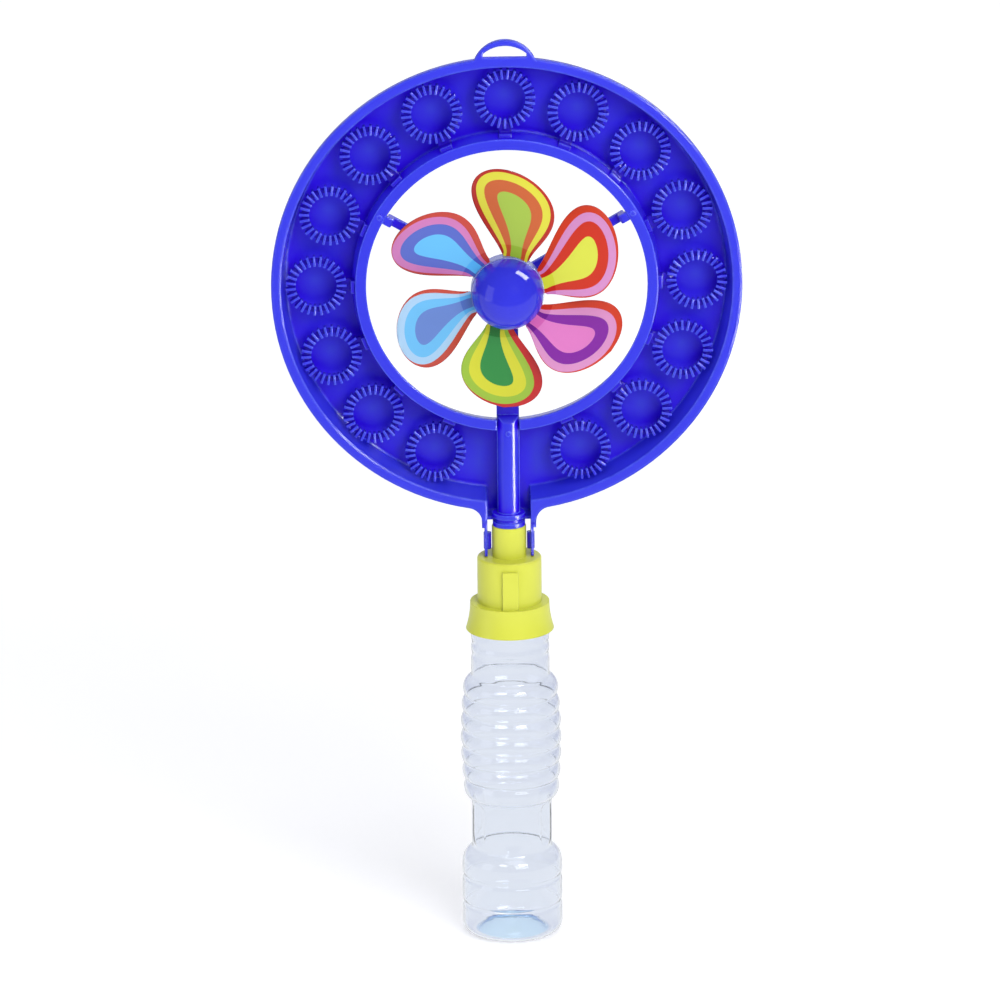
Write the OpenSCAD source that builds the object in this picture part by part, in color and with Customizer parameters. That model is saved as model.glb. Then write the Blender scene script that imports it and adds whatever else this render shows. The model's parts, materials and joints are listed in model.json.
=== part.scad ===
// Bubble wand with a pinwheel, a clip-on dipping tray and a bottle for a handle.
// Millimetres, +Z up. The origin is the middle of the bottle's foot and the ring faces -Y.
// Heights are stacked from the foot up. Depths in the head are "front" values, ahead of the bottle's axis.

/* [Bottle] */
// Radius of the lower body
lower_r = 23.3; // [21:0.1:25]
// Height of the lower body
lower_h = 42.5; // [36:0.5:50]
// Rounding at the foot of the lower body
heel_r = 5; // [3:0.5:7]
// Rounding at the shoulder of the lower body
lower_shoulder_r = 8; // [5:0.5:10]
// Height of the lower groove round the lower body
groove_low_z = 14.7; // [10:0.1:18]
// Height of the upper groove round the lower body
groove_high_z = 27.8; // [22:0.1:30]
// Depth of the grooves round the lower body
groove_d = 0.8; // [0.4:0.1:1]
// Radius of the waist
waist_r = 18.7; // [17.5:0.1:19.5]
// Height of the waist
waist_h = 25; // [20:0.5:32]
// Number of finger flutes round the waist
flute_count = 6; // [4:1:8]
// Depth of a finger flute
flute_d = 0.9; // [0.4:0.1:1.2]
// Number of rings on the grip
ring_count = 7; // [4:1:9]
// Spacing of the grip rings
ring_pitch = 8.1; // [7:0.1:9]
// Radius over the first and last grip rings
ring_end_r = 22.3; // [21.5:0.1:23]
// Extra radius of the grip's middle ring
ring_swell = 1.3; // [0.5:0.1:2]
// Rounding of one grip ring
ring_round_r = 6.5; // [5.5:0.1:8]
// Radius of the plain band above the grip
neck_band_r = 18.3; // [17.5:0.1:18.6]
// Height of the plain band above the grip
neck_band_h = 26; // [20:0.5:30]
// Radius of the threaded finish without its thread
finish_r = 12.6; // [12.2:0.1:13]
// Height of the threaded finish
finish_h = 25.6; // [24:0.2:30]
// Radius of the bottle's mouth
mouth_r = 10.9; // [10:0.1:11.4]
// Wall of the bottle
bottle_wall = 0.8; // [0.6:0.1:1.2]
// Height of the hollow under the foot
pushup_h = 7; // [4:0.5:9]
// Radius of the hollow under the foot
pushup_r = 16; // [12:0.5:17]

/* [Cap] */
// Outside radius of the cap's threaded body
cap_body_r = 15; // [14.8:0.1:16]
// Height of the threaded body above the skirt
cap_body_h = 22; // [19:0.5:26]
// Wall of the cap
cap_wall = 1.1; // [0.8:0.1:1.3]
// Thickness of the cap's top
cap_top_t = 2; // [1.5:0.1:3]
// Radius of the skirt at its top
skirt_top_r = 18.5; // [18.2:0.1:20]
// Radius of the skirt at its lip
skirt_lip_r = 20.6; // [20:0.1:22.5]
// Height of the skirt
skirt_h = 13.3; // [12:0.1:18]
// Outside radius of the socket neck
socket_r = 8; // [7.6:0.1:8.4]
// Height of the socket neck
socket_h = 15; // [12:0.5:18]
// Width of the grip ribs at the front and back of the cap
rib_w = 7.4; // [4:0.2:10]
// Height of the grip ribs
rib_h = 18.2; // [8:0.2:18.6]
// Thickness of the seal under the cap's top
seal_t = 1; // [0.6:0.1:1.6]

/* [Stem] */
// Radius of the stem
stem_r = 5; // [4:0.1:5.2]
// Distance from the middle of the stem to the edge of its side fins
stem_fin = 5.2; // [5:0.1:5.8]
// Radius of the plug in the socket
plug_r = 6; // [5:0.1:6.4]
// Length of the plug
plug_h = 12; // [9:0.5:13]
// Radius of the upper collar
collar_r = 7.8; // [7.2:0.1:8.6]
// Thickness of each collar
collar_t = 2.2; // [1.6:0.1:3.4]
// Width of the groove between the collars
collar_gap = 1.9; // [1.7:0.1:3]
// Distance from the upper collar to the tray's rim
rim_drop = 1.8; // [1:0.1:5]

/* [Ring and hoops] */
// Radius of the opening in the middle of the ring
band_r = 65; // [60:0.5:72]
// Width of the ring's front face
band_w = 5; // [4.2:0.1:7]
// Thickness of the ring's front face
band_t = 1.6; // [1.2:0.1:2.2]
// Depth of the skirt behind the ring's front face
band_skirt_d = 8.6; // [8:0.1:12]
// Thickness of that skirt
band_skirt_t = 1.6; // [1.2:0.1:2]
// Places for hoops round the ring, one of them taken by the stem
hoop_places = 16; // [12:1:16]
// Radius over a hoop's teeth
hoop_r = 14.1; // [12:0.1:14.6]
// Radius inside a hoop's teeth
hoop_hole_r = 9.5; // [7:0.1:10.5]
// Height of a hoop's teeth, front to back
hoop_t = 4; // [3:0.1:5]
// Teeth round one hoop
hoop_teeth = 27; // [18:1:30]
// Width of one tooth
tooth_w = 1.1; // [0.8:0.1:1.3]
// How far a tooth reaches past the hoop's rim, inwards and outwards
tooth_reach = 1.3; // [0.5:0.1:1.6]
// How far a tooth stands ahead of the hoop's rim
tooth_rise = 2; // [0.5:0.1:2.3]
// How far a tooth stands behind the hoop's rim
tooth_drop = 0.5; // [0.2:0.1:0.6]
// How far the hoops lie behind the rim
hoop_set_back = 4.6; // [3:0.1:5]
// Width of the tab that carries a hoop
tab_w = 6; // [4:0.2:8]
// Length of the tab that carries a hoop
tab_len = 3.9; // [3:0.1:6]
// Thickness of the tab
tab_t = 2; // [1.4:0.1:2.4]

/* [Spokes] */
// Width of the two upper spokes
spoke_w = 4.2; // [3:0.1:6]
// Thickness of the spokes
spoke_t = 3; // [2.4:0.1:4]
// How far the spokes step back behind the ring
spoke_step = 5.1; // [4.6:0.1:7]
// Length of a spoke in front of its step
spoke_front = 4.5; // [3.6:0.1:6]
// Radius of the boss where the spokes meet
boss_r = 6.5; // [5:0.1:8]
// Thickness of the boss
boss_t = 4.5; // [3.5:0.1:6]
// Radius of the tube on the front of the boss
boss_tube_r = 4; // [3:0.1:4.6]

/* [Tray] */
// How far the rim lies ahead of the bottle's axis
rim_front = 5; // [4:0.1:6]
// Width of the rim
rim_w = 4.5; // [3.6:0.1:7]
// Room between the hoops and the edge of the rim
hoop_room = 2.3; // [2:0.1:4]
// Depth of the trough
trough_d = 15.5; // [14:0.5:20]
// Wall of the tray
tray_wall = 1.5; // [1.2:0.1:2]
// Slope of the trough's walls
draft = 9; // [5:0.5:10]
// Depth of the lip round the rim's edge
lip_d = 3.4; // [2.4:0.1:5]
// Half the width of the channel round the stem
channel_w = 10.1; // [9.8:0.1:11]
// Thickness of the channel's cheeks
cheek_t = 2.5; // [1.8:0.1:3]
// Thickness of the clip's legs
leg_t = 1.3; // [1:0.1:1.8]
// How far the cheeks reach down beside the lower collar
cheek_drop = 3.1; // [1:0.1:4]
// Depth of the clip's legs, front to back
leg_d = 10; // [6:0.5:11]
// Height of the pads inside the clip's legs
pad_h = 8; // [5:0.5:9]
// Rounding where the rim runs into the clip
mouth_fillet = 7; // [5:0.5:12]
// Half the width of the hole in the hanging loop
loop_hole_w = 10; // [7:0.5:12]
// Height of the hole in the hanging loop
loop_hole_h = 5.5; // [4.5:0.1:6.5]
// Height of the upright ends of that hole
loop_end_h = 1.8; // [1:0.1:2.5]
// Width of the loop's strip
loop_strip = 2.8; // [2:0.1:4]
// Thickness of the hanging loop
loop_t = 2.4; // [1.6:0.1:3.2]

/* [Pinwheel] */
// Radius of the ball on the hub
ball_r = 16.6; // [15.5:0.1:18]
// Wall of the ball
ball_wall = 1.4; // [1:0.1:1.6]
// How far the ball's middle lies ahead of the bottle's axis
ball_front = 18; // [17:0.1:20]
// How far the petals lie behind the ball's middle
petal_back = 3.4; // [3:0.1:3.6]
// Number of petals
petal_count = 6; // [3:1:8]
// Direction of the first petal's root, up from +X
petal_start = 17; // [-30:1:30]
// Room between the petals' tips and the ring
petal_gap = 9.4; // [7.5:0.1:14]
// Half the width of a petal
petal_half_w = 19.4; // [12:0.1:20]
// Radius at which a petal is widest
petal_belly_r = 41; // [34:0.5:44]
// Half the width of a petal at its root
petal_root_w = 6.4; // [5:0.1:7]
// Slope of a petal's middle line towards the tip
petal_lean = 15; // [0:1:18]
// Tilt of the petals, as blades
petal_pitch = 16; // [8:1:17]
// How far a petal's long edges curl back
petal_curl = 1.2; // [0:0.1:1.6]
// Thickness of a petal
petal_t = 0.45; // [0.3:0.05:0.6]
// Depth of the slot that holds a petal's root
slot_d = 5; // [3.5:0.1:5]
// Radius out to the end of the tabs that back the petals' roots
back_tab_r = 22; // [19:0.1:24]
// Thickness of those tabs
back_tab_t = 0.8; // [0.6:0.1:1]
// Thickness of the clear disc on the back of the hub
disc_t = 1; // [0.8:0.1:1.2]

/* [Axle] */
// Radius of the axle
axle_r = 1.5; // [1.2:0.1:1.8]
// Radius of the axle's head
axle_head_r = 3.2; // [2.6:0.1:4]
// Thickness of the axle's head
axle_head_t = 1; // [0.8:0.1:2]
// Radius of the hub's sleeve
sleeve_r = 4; // [3:0.1:4.4]
// Length of the hub's sleeve behind the petals' hub
sleeve_back = 4.1; // [3:0.1:5]
// Thickness of the washer behind the sleeve
washer_t = 0.8; // [0.5:0.1:1.2]
// Thickness of the push-on clip in front of the sleeve
clip_t = 0.8; // [0.5:0.1:1.2]

/* [Clearances] */
// Gap between pieces that come apart
part_gap = 0.3; // [0.25:0.05:0.4]
// Radial clearance of the turning hub on its axle
run_gap = 0.06; // [0.02:0.01:0.09]
// Gap between pieces that are pushed together
push_gap = 0.05; // [0.02:0.01:0.08]
// End play of the pinwheel
end_play = 0.1; // [0.05:0.05:0.3]

/* [Hidden] */
$fn = 64;
eps = 0.01;
cut_over = 1;
sharp_edge_r = 0.2;

hoop_names = [for (i = [1 : hoop_places - 1]) str("hoop_", i)];
petal_names = [for (i = [1 : petal_count]) str("petal_", i)];
head_names = ["ring_band", "arm_left", "arm_right", "hub_boss", "axle", "axle_washer", "axle_clip"];
wheel_names = ["hub_drum", "hub_dome", "hub_disc"];
handle_names = ["bottle", "bottle_neck", "cap_seal", "cap", "wand_stem", "tray"];

clear_blue = [0.80, 0.87, 0.95, 0.4];
toy_blue = [0.13, 0.16, 0.82];
deep_blue = [0.10, 0.12, 0.70];
toy_yellow = [0.88, 0.92, 0.30];
steel = [0.70, 0.71, 0.73];
clear_film = [0.93, 0.95, 0.97, 0.5];
petal_colours = ["gold", "yellowgreen", "cornflowerblue", "skyblue", "seagreen", "orchid"];

// Heights up the bottle
waist_z = lower_h;
grip_z = waist_z + waist_h;
neck_band_z = grip_z + ring_count * ring_pitch;
bottle_shoulder_r = neck_band_r - finish_r;
finish_z = neck_band_z + neck_band_h;
bottle_h = finish_z + bottle_shoulder_r + finish_h;
finish_ring_room = 1;
finish_ring_r = skirt_top_r - cap_wall - finish_ring_room;
finish_ring_t = 1.6;
groove_round = 1.2;
flute_round = 14;
flute_inset = 1.5;
pushup_round = (pushup_r * pushup_r + pushup_h * pushup_h) / (2 * pushup_h);

// Heights up the cap and the stem
cap_under_z = bottle_h + seal_t;
cap_top_z = cap_under_z + cap_top_t;
skirt_top_z = cap_top_z - cap_body_h;
skirt_lip_z = skirt_top_z - skirt_h;
socket_z = cap_top_z + socket_h;
collar_top_z = socket_z + 2 * collar_t + collar_gap;
core_step = 0.4;
groove_core_r = plug_r + core_step;
collar_step = 0.2;
cap_edge_r = 1.2;
socket_edge_r = 0.5;
rib_proud = 1.2;

// Depths in the head, ahead of the bottle's axis
floor_front = rim_front - trough_d;
floor_back = floor_front - tray_wall;
hoop_front = rim_front - hoop_set_back;
hoop_back = hoop_front - hoop_t;
hoop_rim_back = hoop_back + tooth_drop;
spoke_recess = 0.4;
spoke_face = rim_front - spoke_recess;
spoke_rear = spoke_face - spoke_step;

// Radii in the head
band_out_r = band_r + band_w;
hoop_at_r = band_out_r + tab_len + hoop_r;
rim_in_r = hoop_at_r + hoop_r + hoop_room;
rim_r = rim_in_r + rim_w;
ring_z = collar_top_z + rim_drop + rim_r;
slope = tan(draft);
inner_wall_top = rim_front - band_t - part_gap;
inner_wall_r = band_out_r - band_skirt_t - 2 * part_gap - tray_wall;
hoop_step = 360 / hoop_places;
spoke_angle = 30;
spoke_elbow_r = band_r - spoke_front;
elbow_round = 1.4;
pip_r = 1.2;
pip_h = 0.4;
pip_at_r = band_r + band_w / 2;

// The stem's upper end, as distances below the ring's middle
shoulder_inset = 1.2;
shoulder_y = band_r - shoulder_inset;
stem_top_z = ring_z - shoulder_y - stem_r;
fin_t = 1.5;
lower_spoke_w = 2 * stem_fin;
lower_root = 4;
stem_pip_drop = 4;

// The tray's mouth, as distances below the ring's middle
groove_mid = ring_z - socket_z - collar_t - collar_gap / 2;
dam_t = collar_gap - 2 * part_gap;
dam_y = groove_mid + dam_t / 2;
leg_end = ring_z - cap_top_z - 2 * part_gap;
cheek_out = channel_w + cheek_t;
fillet_x = cheek_out + mouth_fillet;
fillet_y = sqrt(pow(rim_r + mouth_fillet, 2) - fillet_x * fillet_x);
pad_r = channel_w - socket_r - part_gap;

// The hanging loop, as heights above the ring's middle
loop_gap = 0.2;
loop_foot_w = 4.8;
loop_foot_h = 3.6;
loop_hole_y = rim_r + loop_gap;
loop_arch_h = loop_hole_h - loop_end_h;
loop_hole_r = (loop_hole_w * loop_hole_w + loop_arch_h * loop_arch_h) / (2 * loop_arch_h);
loop_out_w = loop_hole_w + loop_foot_w;
loop_out_h = loop_hole_h + loop_strip + loop_foot_h;
loop_out_r = (loop_out_w * loop_out_w + loop_out_h * loop_out_h) / (2 * loop_out_h);
loop_top = loop_hole_y + loop_hole_h + loop_strip;

// The pinwheel's depths
petal_front = ball_front - petal_back;
dome_edge_d = 1;
dome_edge = ball_front - dome_edge_d;
drum_d = 4;
drum_back = petal_front - drum_d;
drum_step = 0.3;
drum_r = ball_r + drum_step;
drum_rim_t = 1.6;
drum_rim_r = drum_r - slot_d - drum_rim_t;
drum_web_t = 1.8;
spigot_r = ball_r - ball_wall - push_gap;
spigot_h = 2;
spigot_wall = 1.4;
sleeve_end = drum_back - sleeve_back;
sleeve_ahead = 2.4;
sleeve_front = ball_front + sleeve_ahead;
tube_front = sleeve_end - washer_t - 2 * end_play;
clip_back = sleeve_front + end_play;
axle_past_clip = 1.2;
axle_tip = clip_back + clip_t + axle_past_clip;
axle_bore_r = axle_r + push_gap;
axle_head_front = spoke_rear - boss_t;

// The petals' outline
petal_tip_r = band_r - petal_gap;
petal_step = 360 / petal_count;
tab_in_r = drum_r - slot_d + part_gap;
tab_inset = 0.9;
tab_half_w = petal_root_w - tab_inset;
slot_half_w = tab_half_w / cos(petal_pitch) + part_gap;
root_in = 0.6;
root_out = 0.4;
flank_power = 1.3;
belly_rows = 8;
tip_rows = 7;
petal_cols = 8;
tip_last = 86;

// Places a shape drawn with x to the right and y up on the head, with z towards the front
module on_head() {
    translate([0, 0, ring_z]) rotate([90, 0, 0]) children();
}

// A square corner of a turned profile, rounded at its outside
module rounded_step(r, low, high, round_low, round_high) {
    translate([0, low + round_low]) square([r, high - low - round_low - round_high]);
    translate([0, low]) square([r - round_low, round_low + eps]);
    translate([0, high - round_high - eps]) square([r - round_high, round_high + eps]);
    translate([r - round_low, low + round_low]) circle(round_low);
    translate([r - round_high, high - round_high]) circle(round_high);
}

// Half the bottle's outline, drawn inwards by the wall for its inside
module bottle_outline(wall) {
    difference() {
        rounded_step(lower_r - wall, wall, lower_h - wall, heel_r - wall, lower_shoulder_r - wall);
        for (z = [groove_low_z, groove_high_z]) {
            translate([lower_r - groove_d + groove_round, z]) circle(groove_round + wall);
        }
        translate([0, pushup_h - pushup_round]) circle(pushup_round + wall);
    }
    translate([0, lower_h / 2]) square([waist_r - wall, neck_band_z - lower_h / 2]);
    for (i = [0 : ring_count - 1]) {
        ring_r = ring_end_r + ring_swell * sin(180 * i / (ring_count - 1));
        translate([ring_r - ring_round_r, grip_z + (i + 0.5) * ring_pitch]) circle(ring_round_r - wall);
    }
    translate([0, neck_band_z - eps]) square([neck_band_r - wall, neck_band_h + 2 * eps]);
}

// Upright hollows pressed into the waist
module waist_flutes(wall) {
    flute_len = waist_h - 2 * sqrt(2 * flute_round * flute_d) - 2 * flute_inset;
    for (i = [0 : flute_count - 1]) {
        rotate((i + 0.5) * 360 / flute_count)
            translate([waist_r - flute_d + flute_round, 0, waist_z + waist_h / 2]) {
                cylinder(r = flute_round + wall, h = flute_len, center = true);
                for (end = [-1, 1]) translate([0, 0, end * flute_len / 2]) sphere(flute_round + wall);
            }
    }
}

// Body of the bottle, from its foot to the top of the plain band
module bottle() {
    color(clear_blue) difference() {
        rotate_extrude() bottle_outline(0);
        waist_flutes(0);
        difference() {
            rotate_extrude() bottle_outline(bottle_wall);
            waist_flutes(bottle_wall);
        }
        translate([0, 0, finish_z]) cylinder(r = 2 * lower_r, h = bottle_h);
    }
}

// Shoulder and threaded finish of the bottle, above its plain band
module bottle_neck() {
    bead_z = skirt_top_z - cap_wall - finish_ring_t - part_gap;
    color(clear_blue) rotate_extrude() difference() {
        union() {
            translate([finish_r, finish_z]) circle(bottle_shoulder_r);
            translate([mouth_r, finish_z]) square([finish_r - mouth_r, bottle_h - finish_z]);
            translate([mouth_r, bead_z]) square([finish_ring_r - mouth_r, finish_ring_t]);
        }
        translate([finish_r, finish_z]) circle(bottle_shoulder_r - bottle_wall);
        translate([0, finish_z - bottle_shoulder_r]) square([2 * lower_r, bottle_shoulder_r]);
        translate([0, finish_z - eps]) square([mouth_r, bottle_h]);
        translate([mouth_r - eps, finish_z - eps])
            square([finish_r - mouth_r + eps, bottle_shoulder_r - bottle_wall + eps]);
    }
}

module cap_seal() {
    color("whitesmoke") translate([0, 0, bottle_h])
        cylinder(r = cap_body_r - cap_wall - part_gap, h = seal_t);
}

// The flared skirt of the cap, drawn inwards by the wall for its inside
module skirt_outline(wall) {
    flare = skirt_lip_r - skirt_top_r;
    flare_round = (skirt_h * skirt_h + flare * flare) / (2 * flare);
    difference() {
        translate([0, skirt_lip_z]) square([skirt_lip_r - wall, skirt_h - wall]);
        translate([skirt_top_r + flare_round, skirt_top_z]) circle(flare_round + wall, $fn = 200);
    }
}

module cap() {
    color(toy_yellow) difference() {
        union() {
            rotate_extrude() {
                difference() {
                    union() {
                        skirt_outline(0);
                        rounded_step(cap_body_r, skirt_top_z - cap_wall, cap_top_z, sharp_edge_r, cap_edge_r);
                        rounded_step(socket_r, cap_top_z - cap_wall, socket_z, sharp_edge_r, socket_edge_r);
                    }
                    translate([0, skirt_lip_z - eps])
                        square([cap_body_r - cap_wall, cap_under_z - skirt_lip_z + eps]);
                    translate([0, -eps]) skirt_outline(cap_wall);
                    translate([0, socket_z - plug_h - part_gap]) square([plug_r + push_gap, socket_h]);
                }
            }
            for (side = [0, 180]) rotate(side) {
                translate([-rib_w / 2, -cap_body_r - rib_proud, skirt_top_z - cap_wall / 2])
                    cube([rib_w, rib_proud + cap_wall / 2, rib_h + cap_wall / 2]);
            }
        }
        translate([0, 0, skirt_top_z - cap_wall])
            cylinder(r = cap_body_r - cap_wall, h = cap_under_z - skirt_top_z + cap_wall);
    }
}

// The stem, with the plug in the cap, the two collars and the lower spoke up to the boss
module wand_stem() {
    color(toy_blue) {
        difference() {
            union() {
                translate([0, 0, socket_z - plug_h]) cylinder(r = plug_r, h = plug_h);
                translate([0, 0, socket_z]) cylinder(r = collar_r - collar_step, h = collar_t);
                translate([0, 0, socket_z + collar_t - eps])
                    cylinder(r = groove_core_r, h = collar_gap + 2 * eps);
                translate([0, 0, socket_z + collar_t + collar_gap]) cylinder(r = collar_r, h = collar_t);
                translate([0, 0, collar_top_z - eps])
                    cylinder(r = stem_r, h = stem_top_z - collar_top_z + eps);
                intersection() {
                    translate([0, 0, stem_top_z - 2 * stem_r]) cylinder(r = stem_r, h = 3 * stem_r);
                    translate([-stem_r, 0, stem_top_z]) rotate([0, 90, 0])
                        cylinder(r = stem_r, h = 2 * stem_r);
                }
                on_head() {
                    translate([-stem_fin, -ring_z + collar_top_z - eps, -fin_t / 2])
                        cube([2 * stem_fin, stem_top_z - collar_top_z, fin_t]);
                    translate([-lower_spoke_w / 2, -band_out_r - lower_root, spoke_rear - spoke_t])
                        cube([lower_spoke_w, band_out_r + lower_root - boss_r / 2, spoke_t]);
                    translate([0, -pip_at_r - stem_pip_drop, 0]) cylinder(r = pip_r, h = stem_r + pip_h);
                }
            }
            on_head() translate([0, 0, spoke_rear - 2 * boss_t]) cylinder(r = boss_r, h = 4 * boss_t);
        }
    }
}

// Solid cone with the outside of the ring's skirt as its side
module band_cone() {
    translate([0, 0, rim_front - band_skirt_d])
        cylinder(r1 = band_out_r + slope * band_skirt_d, r2 = band_out_r, h = band_skirt_d, $fn = 180);
}

// Ring that rests over the tray's inner wall and carries the hoops
module ring_band() {
    under = rim_front - band_t;
    back = rim_front - band_skirt_d;
    section = [
        [band_r, rim_front],
        [band_r, under],
        [band_out_r - band_skirt_t + slope * band_t, under],
        [band_out_r - band_skirt_t + slope * band_skirt_d, back],
        [band_out_r + slope * band_skirt_d, back],
        [band_out_r, rim_front]
    ];
    color(toy_blue) on_head() {
        difference() {
            rotate_extrude($fn = 180) polygon(section);
            translate([-stem_fin - push_gap, -2 * band_out_r, back - cut_over])
                cube([2 * (stem_fin + push_gap), 2 * band_out_r, band_skirt_d + 2 * cut_over]);
        }
        for (a = [spoke_angle, 180 - spoke_angle]) {
            rotate(a) translate([pip_at_r, 0, under]) cylinder(r = pip_r, h = band_t + pip_h);
        }
    }
}

// One toothed bubble hoop on its tab
module bubble_hoop(i) {
    rim_hole_r = hoop_hole_r + tooth_reach;
    rim_out_r = hoop_r - tooth_reach;
    tab_end = hoop_at_r - (rim_hole_r + rim_out_r) / 2;
    strip_t = 0.8;
    strip_drop = rim_front - hoop_rim_back;
    color(toy_blue) on_head() rotate(-90 + i * hoop_step) {
        translate([hoop_at_r, 0, 0]) {
            difference() {
                translate([0, 0, hoop_rim_back])
                    cylinder(r = rim_out_r, h = hoop_t - tooth_rise - tooth_drop);
                translate([0, 0, hoop_rim_back - cut_over]) cylinder(r = rim_hole_r, h = hoop_t + cut_over);
            }
            for (k = [0 : hoop_teeth - 1]) {
                rotate((k + 0.5) * 360 / hoop_teeth) translate([hoop_hole_r, -tooth_w / 2, hoop_back])
                    cube([hoop_r - hoop_hole_r, tooth_w, hoop_t]);
            }
        }
        difference() {
            union() {
                translate([band_r, -tab_w / 2, hoop_rim_back]) cube([tab_end - band_r, tab_w, tab_t]);
                translate([band_r, -tab_w / 2, hoop_rim_back])
                    cube([band_w + strip_t + slope * strip_drop, tab_w, strip_drop - band_t]);
            }
            band_cone();
        }
    }
}

// Side view of an upper spoke: out to the right along the radius, front of the ring upwards
module spoke_outline() {
    rear_low = spoke_rear - spoke_t;
    difference() {
        union() {
            translate([spoke_elbow_r, spoke_face - spoke_t]) square([spoke_front + eps, spoke_t]);
            translate([spoke_elbow_r, rear_low]) square([spoke_t, spoke_face - rear_low]);
            translate([boss_r / 2, rear_low]) square([spoke_elbow_r + spoke_t - boss_r / 2, spoke_t]);
        }
        translate([spoke_elbow_r, spoke_face - elbow_round]) square([elbow_round, elbow_round + eps]);
        translate([spoke_elbow_r + spoke_t - elbow_round, rear_low - eps]) square(elbow_round + eps);
    }
    translate([spoke_elbow_r + elbow_round, spoke_face - elbow_round]) circle(elbow_round);
    translate([spoke_elbow_r + spoke_t - elbow_round, rear_low + elbow_round]) circle(elbow_round);
}

// One upper spoke, at an angle round the ring
module upper_spoke(angle) {
    color(toy_blue) on_head() difference() {
        rotate(angle) rotate([90, 0, 0]) translate([0, 0, -spoke_w / 2])
            linear_extrude(spoke_w) intersection() {
                spoke_outline();
                translate([0, spoke_rear - 2 * spoke_t]) square([band_r, 4 * spoke_step]);
            }
        translate([0, 0, spoke_rear - 2 * boss_t]) cylinder(r = boss_r, h = 4 * boss_t);
        difference() {
            translate([0, 0, floor_back]) cylinder(r = 2 * band_r, h = 2 * trough_d);
            translate([0, 0, floor_back - cut_over])
                cylinder(r = band_r, h = 2 * trough_d + 2 * cut_over, $fn = 180);
        }
    }
}

// Boss where the spokes meet, with a tube that sets the pinwheel clear of them
module hub_boss() {
    color(toy_blue) on_head() difference() {
        union() {
            translate([0, 0, spoke_rear - boss_t]) cylinder(r = boss_r, h = boss_t);
            translate([0, 0, spoke_rear - eps]) cylinder(r = boss_tube_r, h = tube_front - spoke_rear + eps);
        }
        translate([0, 0, spoke_rear - 2 * boss_t]) cylinder(r = axle_bore_r, h = 4 * boss_t + tube_front);
    }
}

module axle() {
    color(steel) on_head() {
        translate([0, 0, axle_head_front - axle_head_t]) cylinder(r = axle_head_r, h = axle_head_t);
        translate([0, 0, axle_head_front - eps]) cylinder(r = axle_r, h = axle_tip - axle_head_front + eps);
    }
}

// A flat ring round the axle
module axle_ring(out_r, hole_r, low, thick) {
    on_head() translate([0, 0, low]) difference() {
        cylinder(r = out_r, h = thick);
        translate([0, 0, -cut_over]) cylinder(r = hole_r, h = thick + 2 * cut_over);
    }
}

module axle_washer() {
    color("white") axle_ring(boss_tube_r, axle_bore_r, tube_front + end_play, washer_t);
}

module axle_clip() {
    color(steel) axle_ring(sleeve_r, axle_bore_r, clip_back, clip_t);
}

// Slanted tab on the hub that backs the root of a petal
module back_tab() {
    tab_far_w = flank_w(back_tab_r) - tab_inset;
    tab_shift = (back_tab_r - drum_r) * tan(petal_lean);
    outline = [
        [drum_r - root_in, -tab_half_w],
        [back_tab_r, tab_shift - tab_far_w],
        [back_tab_r, tab_shift + tab_far_w],
        [drum_r - root_in, tab_half_w]
    ];
    intersection() {
        translate([0, 0, petal_front - petal_t - 2 * part_gap]) rotate([-petal_pitch, 0, 0])
            translate([0, 0, -back_tab_t]) linear_extrude(back_tab_t) polygon(outline);
        translate([0, 0, sleeve_end]) cylinder(r = back_tab_r, h = dome_edge - sleeve_end);
    }
}

// Hub that turns on the axle, with a slanted slot for each petal's root
module hub_drum() {
    color(clear_film) on_head() difference() {
        union() {
            difference() {
                translate([0, 0, drum_back]) cylinder(r = drum_r, h = dome_edge - drum_back);
                translate([0, 0, drum_back - cut_over])
                    cylinder(r = drum_rim_r, h = dome_edge - drum_back + 2 * cut_over);
            }
            translate([0, 0, dome_edge - drum_web_t])
                cylinder(r = drum_rim_r + drum_rim_t / 2, h = drum_web_t);
            difference() {
                translate([0, 0, dome_edge - eps]) cylinder(r = spigot_r, h = spigot_h + eps);
                translate([0, 0, dome_edge]) cylinder(r = spigot_r - spigot_wall, h = spigot_h + cut_over);
            }
            translate([0, 0, sleeve_end]) cylinder(r = sleeve_r, h = sleeve_front - sleeve_end);
            for (i = [0 : petal_count - 1]) rotate(petal_start + i * petal_step) back_tab();
        }
        translate([0, 0, sleeve_end - cut_over])
            cylinder(r = axle_r + run_gap, h = sleeve_front - sleeve_end + 2 * cut_over);
        for (i = [0 : petal_count - 1]) {
            rotate(petal_start + i * petal_step) translate([drum_r, 0, petal_front - petal_t / 2])
                rotate([-petal_pitch, 0, 0])
                    cube([2 * slot_d, 2 * slot_half_w, petal_t + 2 * end_play], center = true);
        }
    }
}

// Ball that covers the hub
module hub_dome() {
    color(deep_blue) on_head() difference() {
        union() {
            translate([0, 0, ball_front]) sphere(ball_r);
            translate([0, 0, dome_edge]) cylinder(r = ball_r, h = ball_front - dome_edge);
        }
        translate([0, 0, ball_front]) sphere(ball_r - ball_wall);
        translate([0, 0, dome_edge - cut_over])
            cylinder(r = ball_r - ball_wall, h = ball_front - dome_edge + cut_over);
        translate([0, 0, dome_edge - 2 * ball_r]) cylinder(r = 2 * ball_r, h = 2 * ball_r);
    }
}

// Clear disc that closes the back of the hub
module hub_disc() {
    color(clear_film) axle_ring(drum_r, sleeve_r + part_gap, drum_back - disc_t, disc_t);
}

// Half the width of a petal at radius u, between its root and its widest place
function flank_w(u) =
    let (part = (u - drum_r) / (petal_belly_r - drum_r))
    petal_root_w + (petal_half_w - petal_root_w) * pow(sin(90 * part), flank_power);

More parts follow.
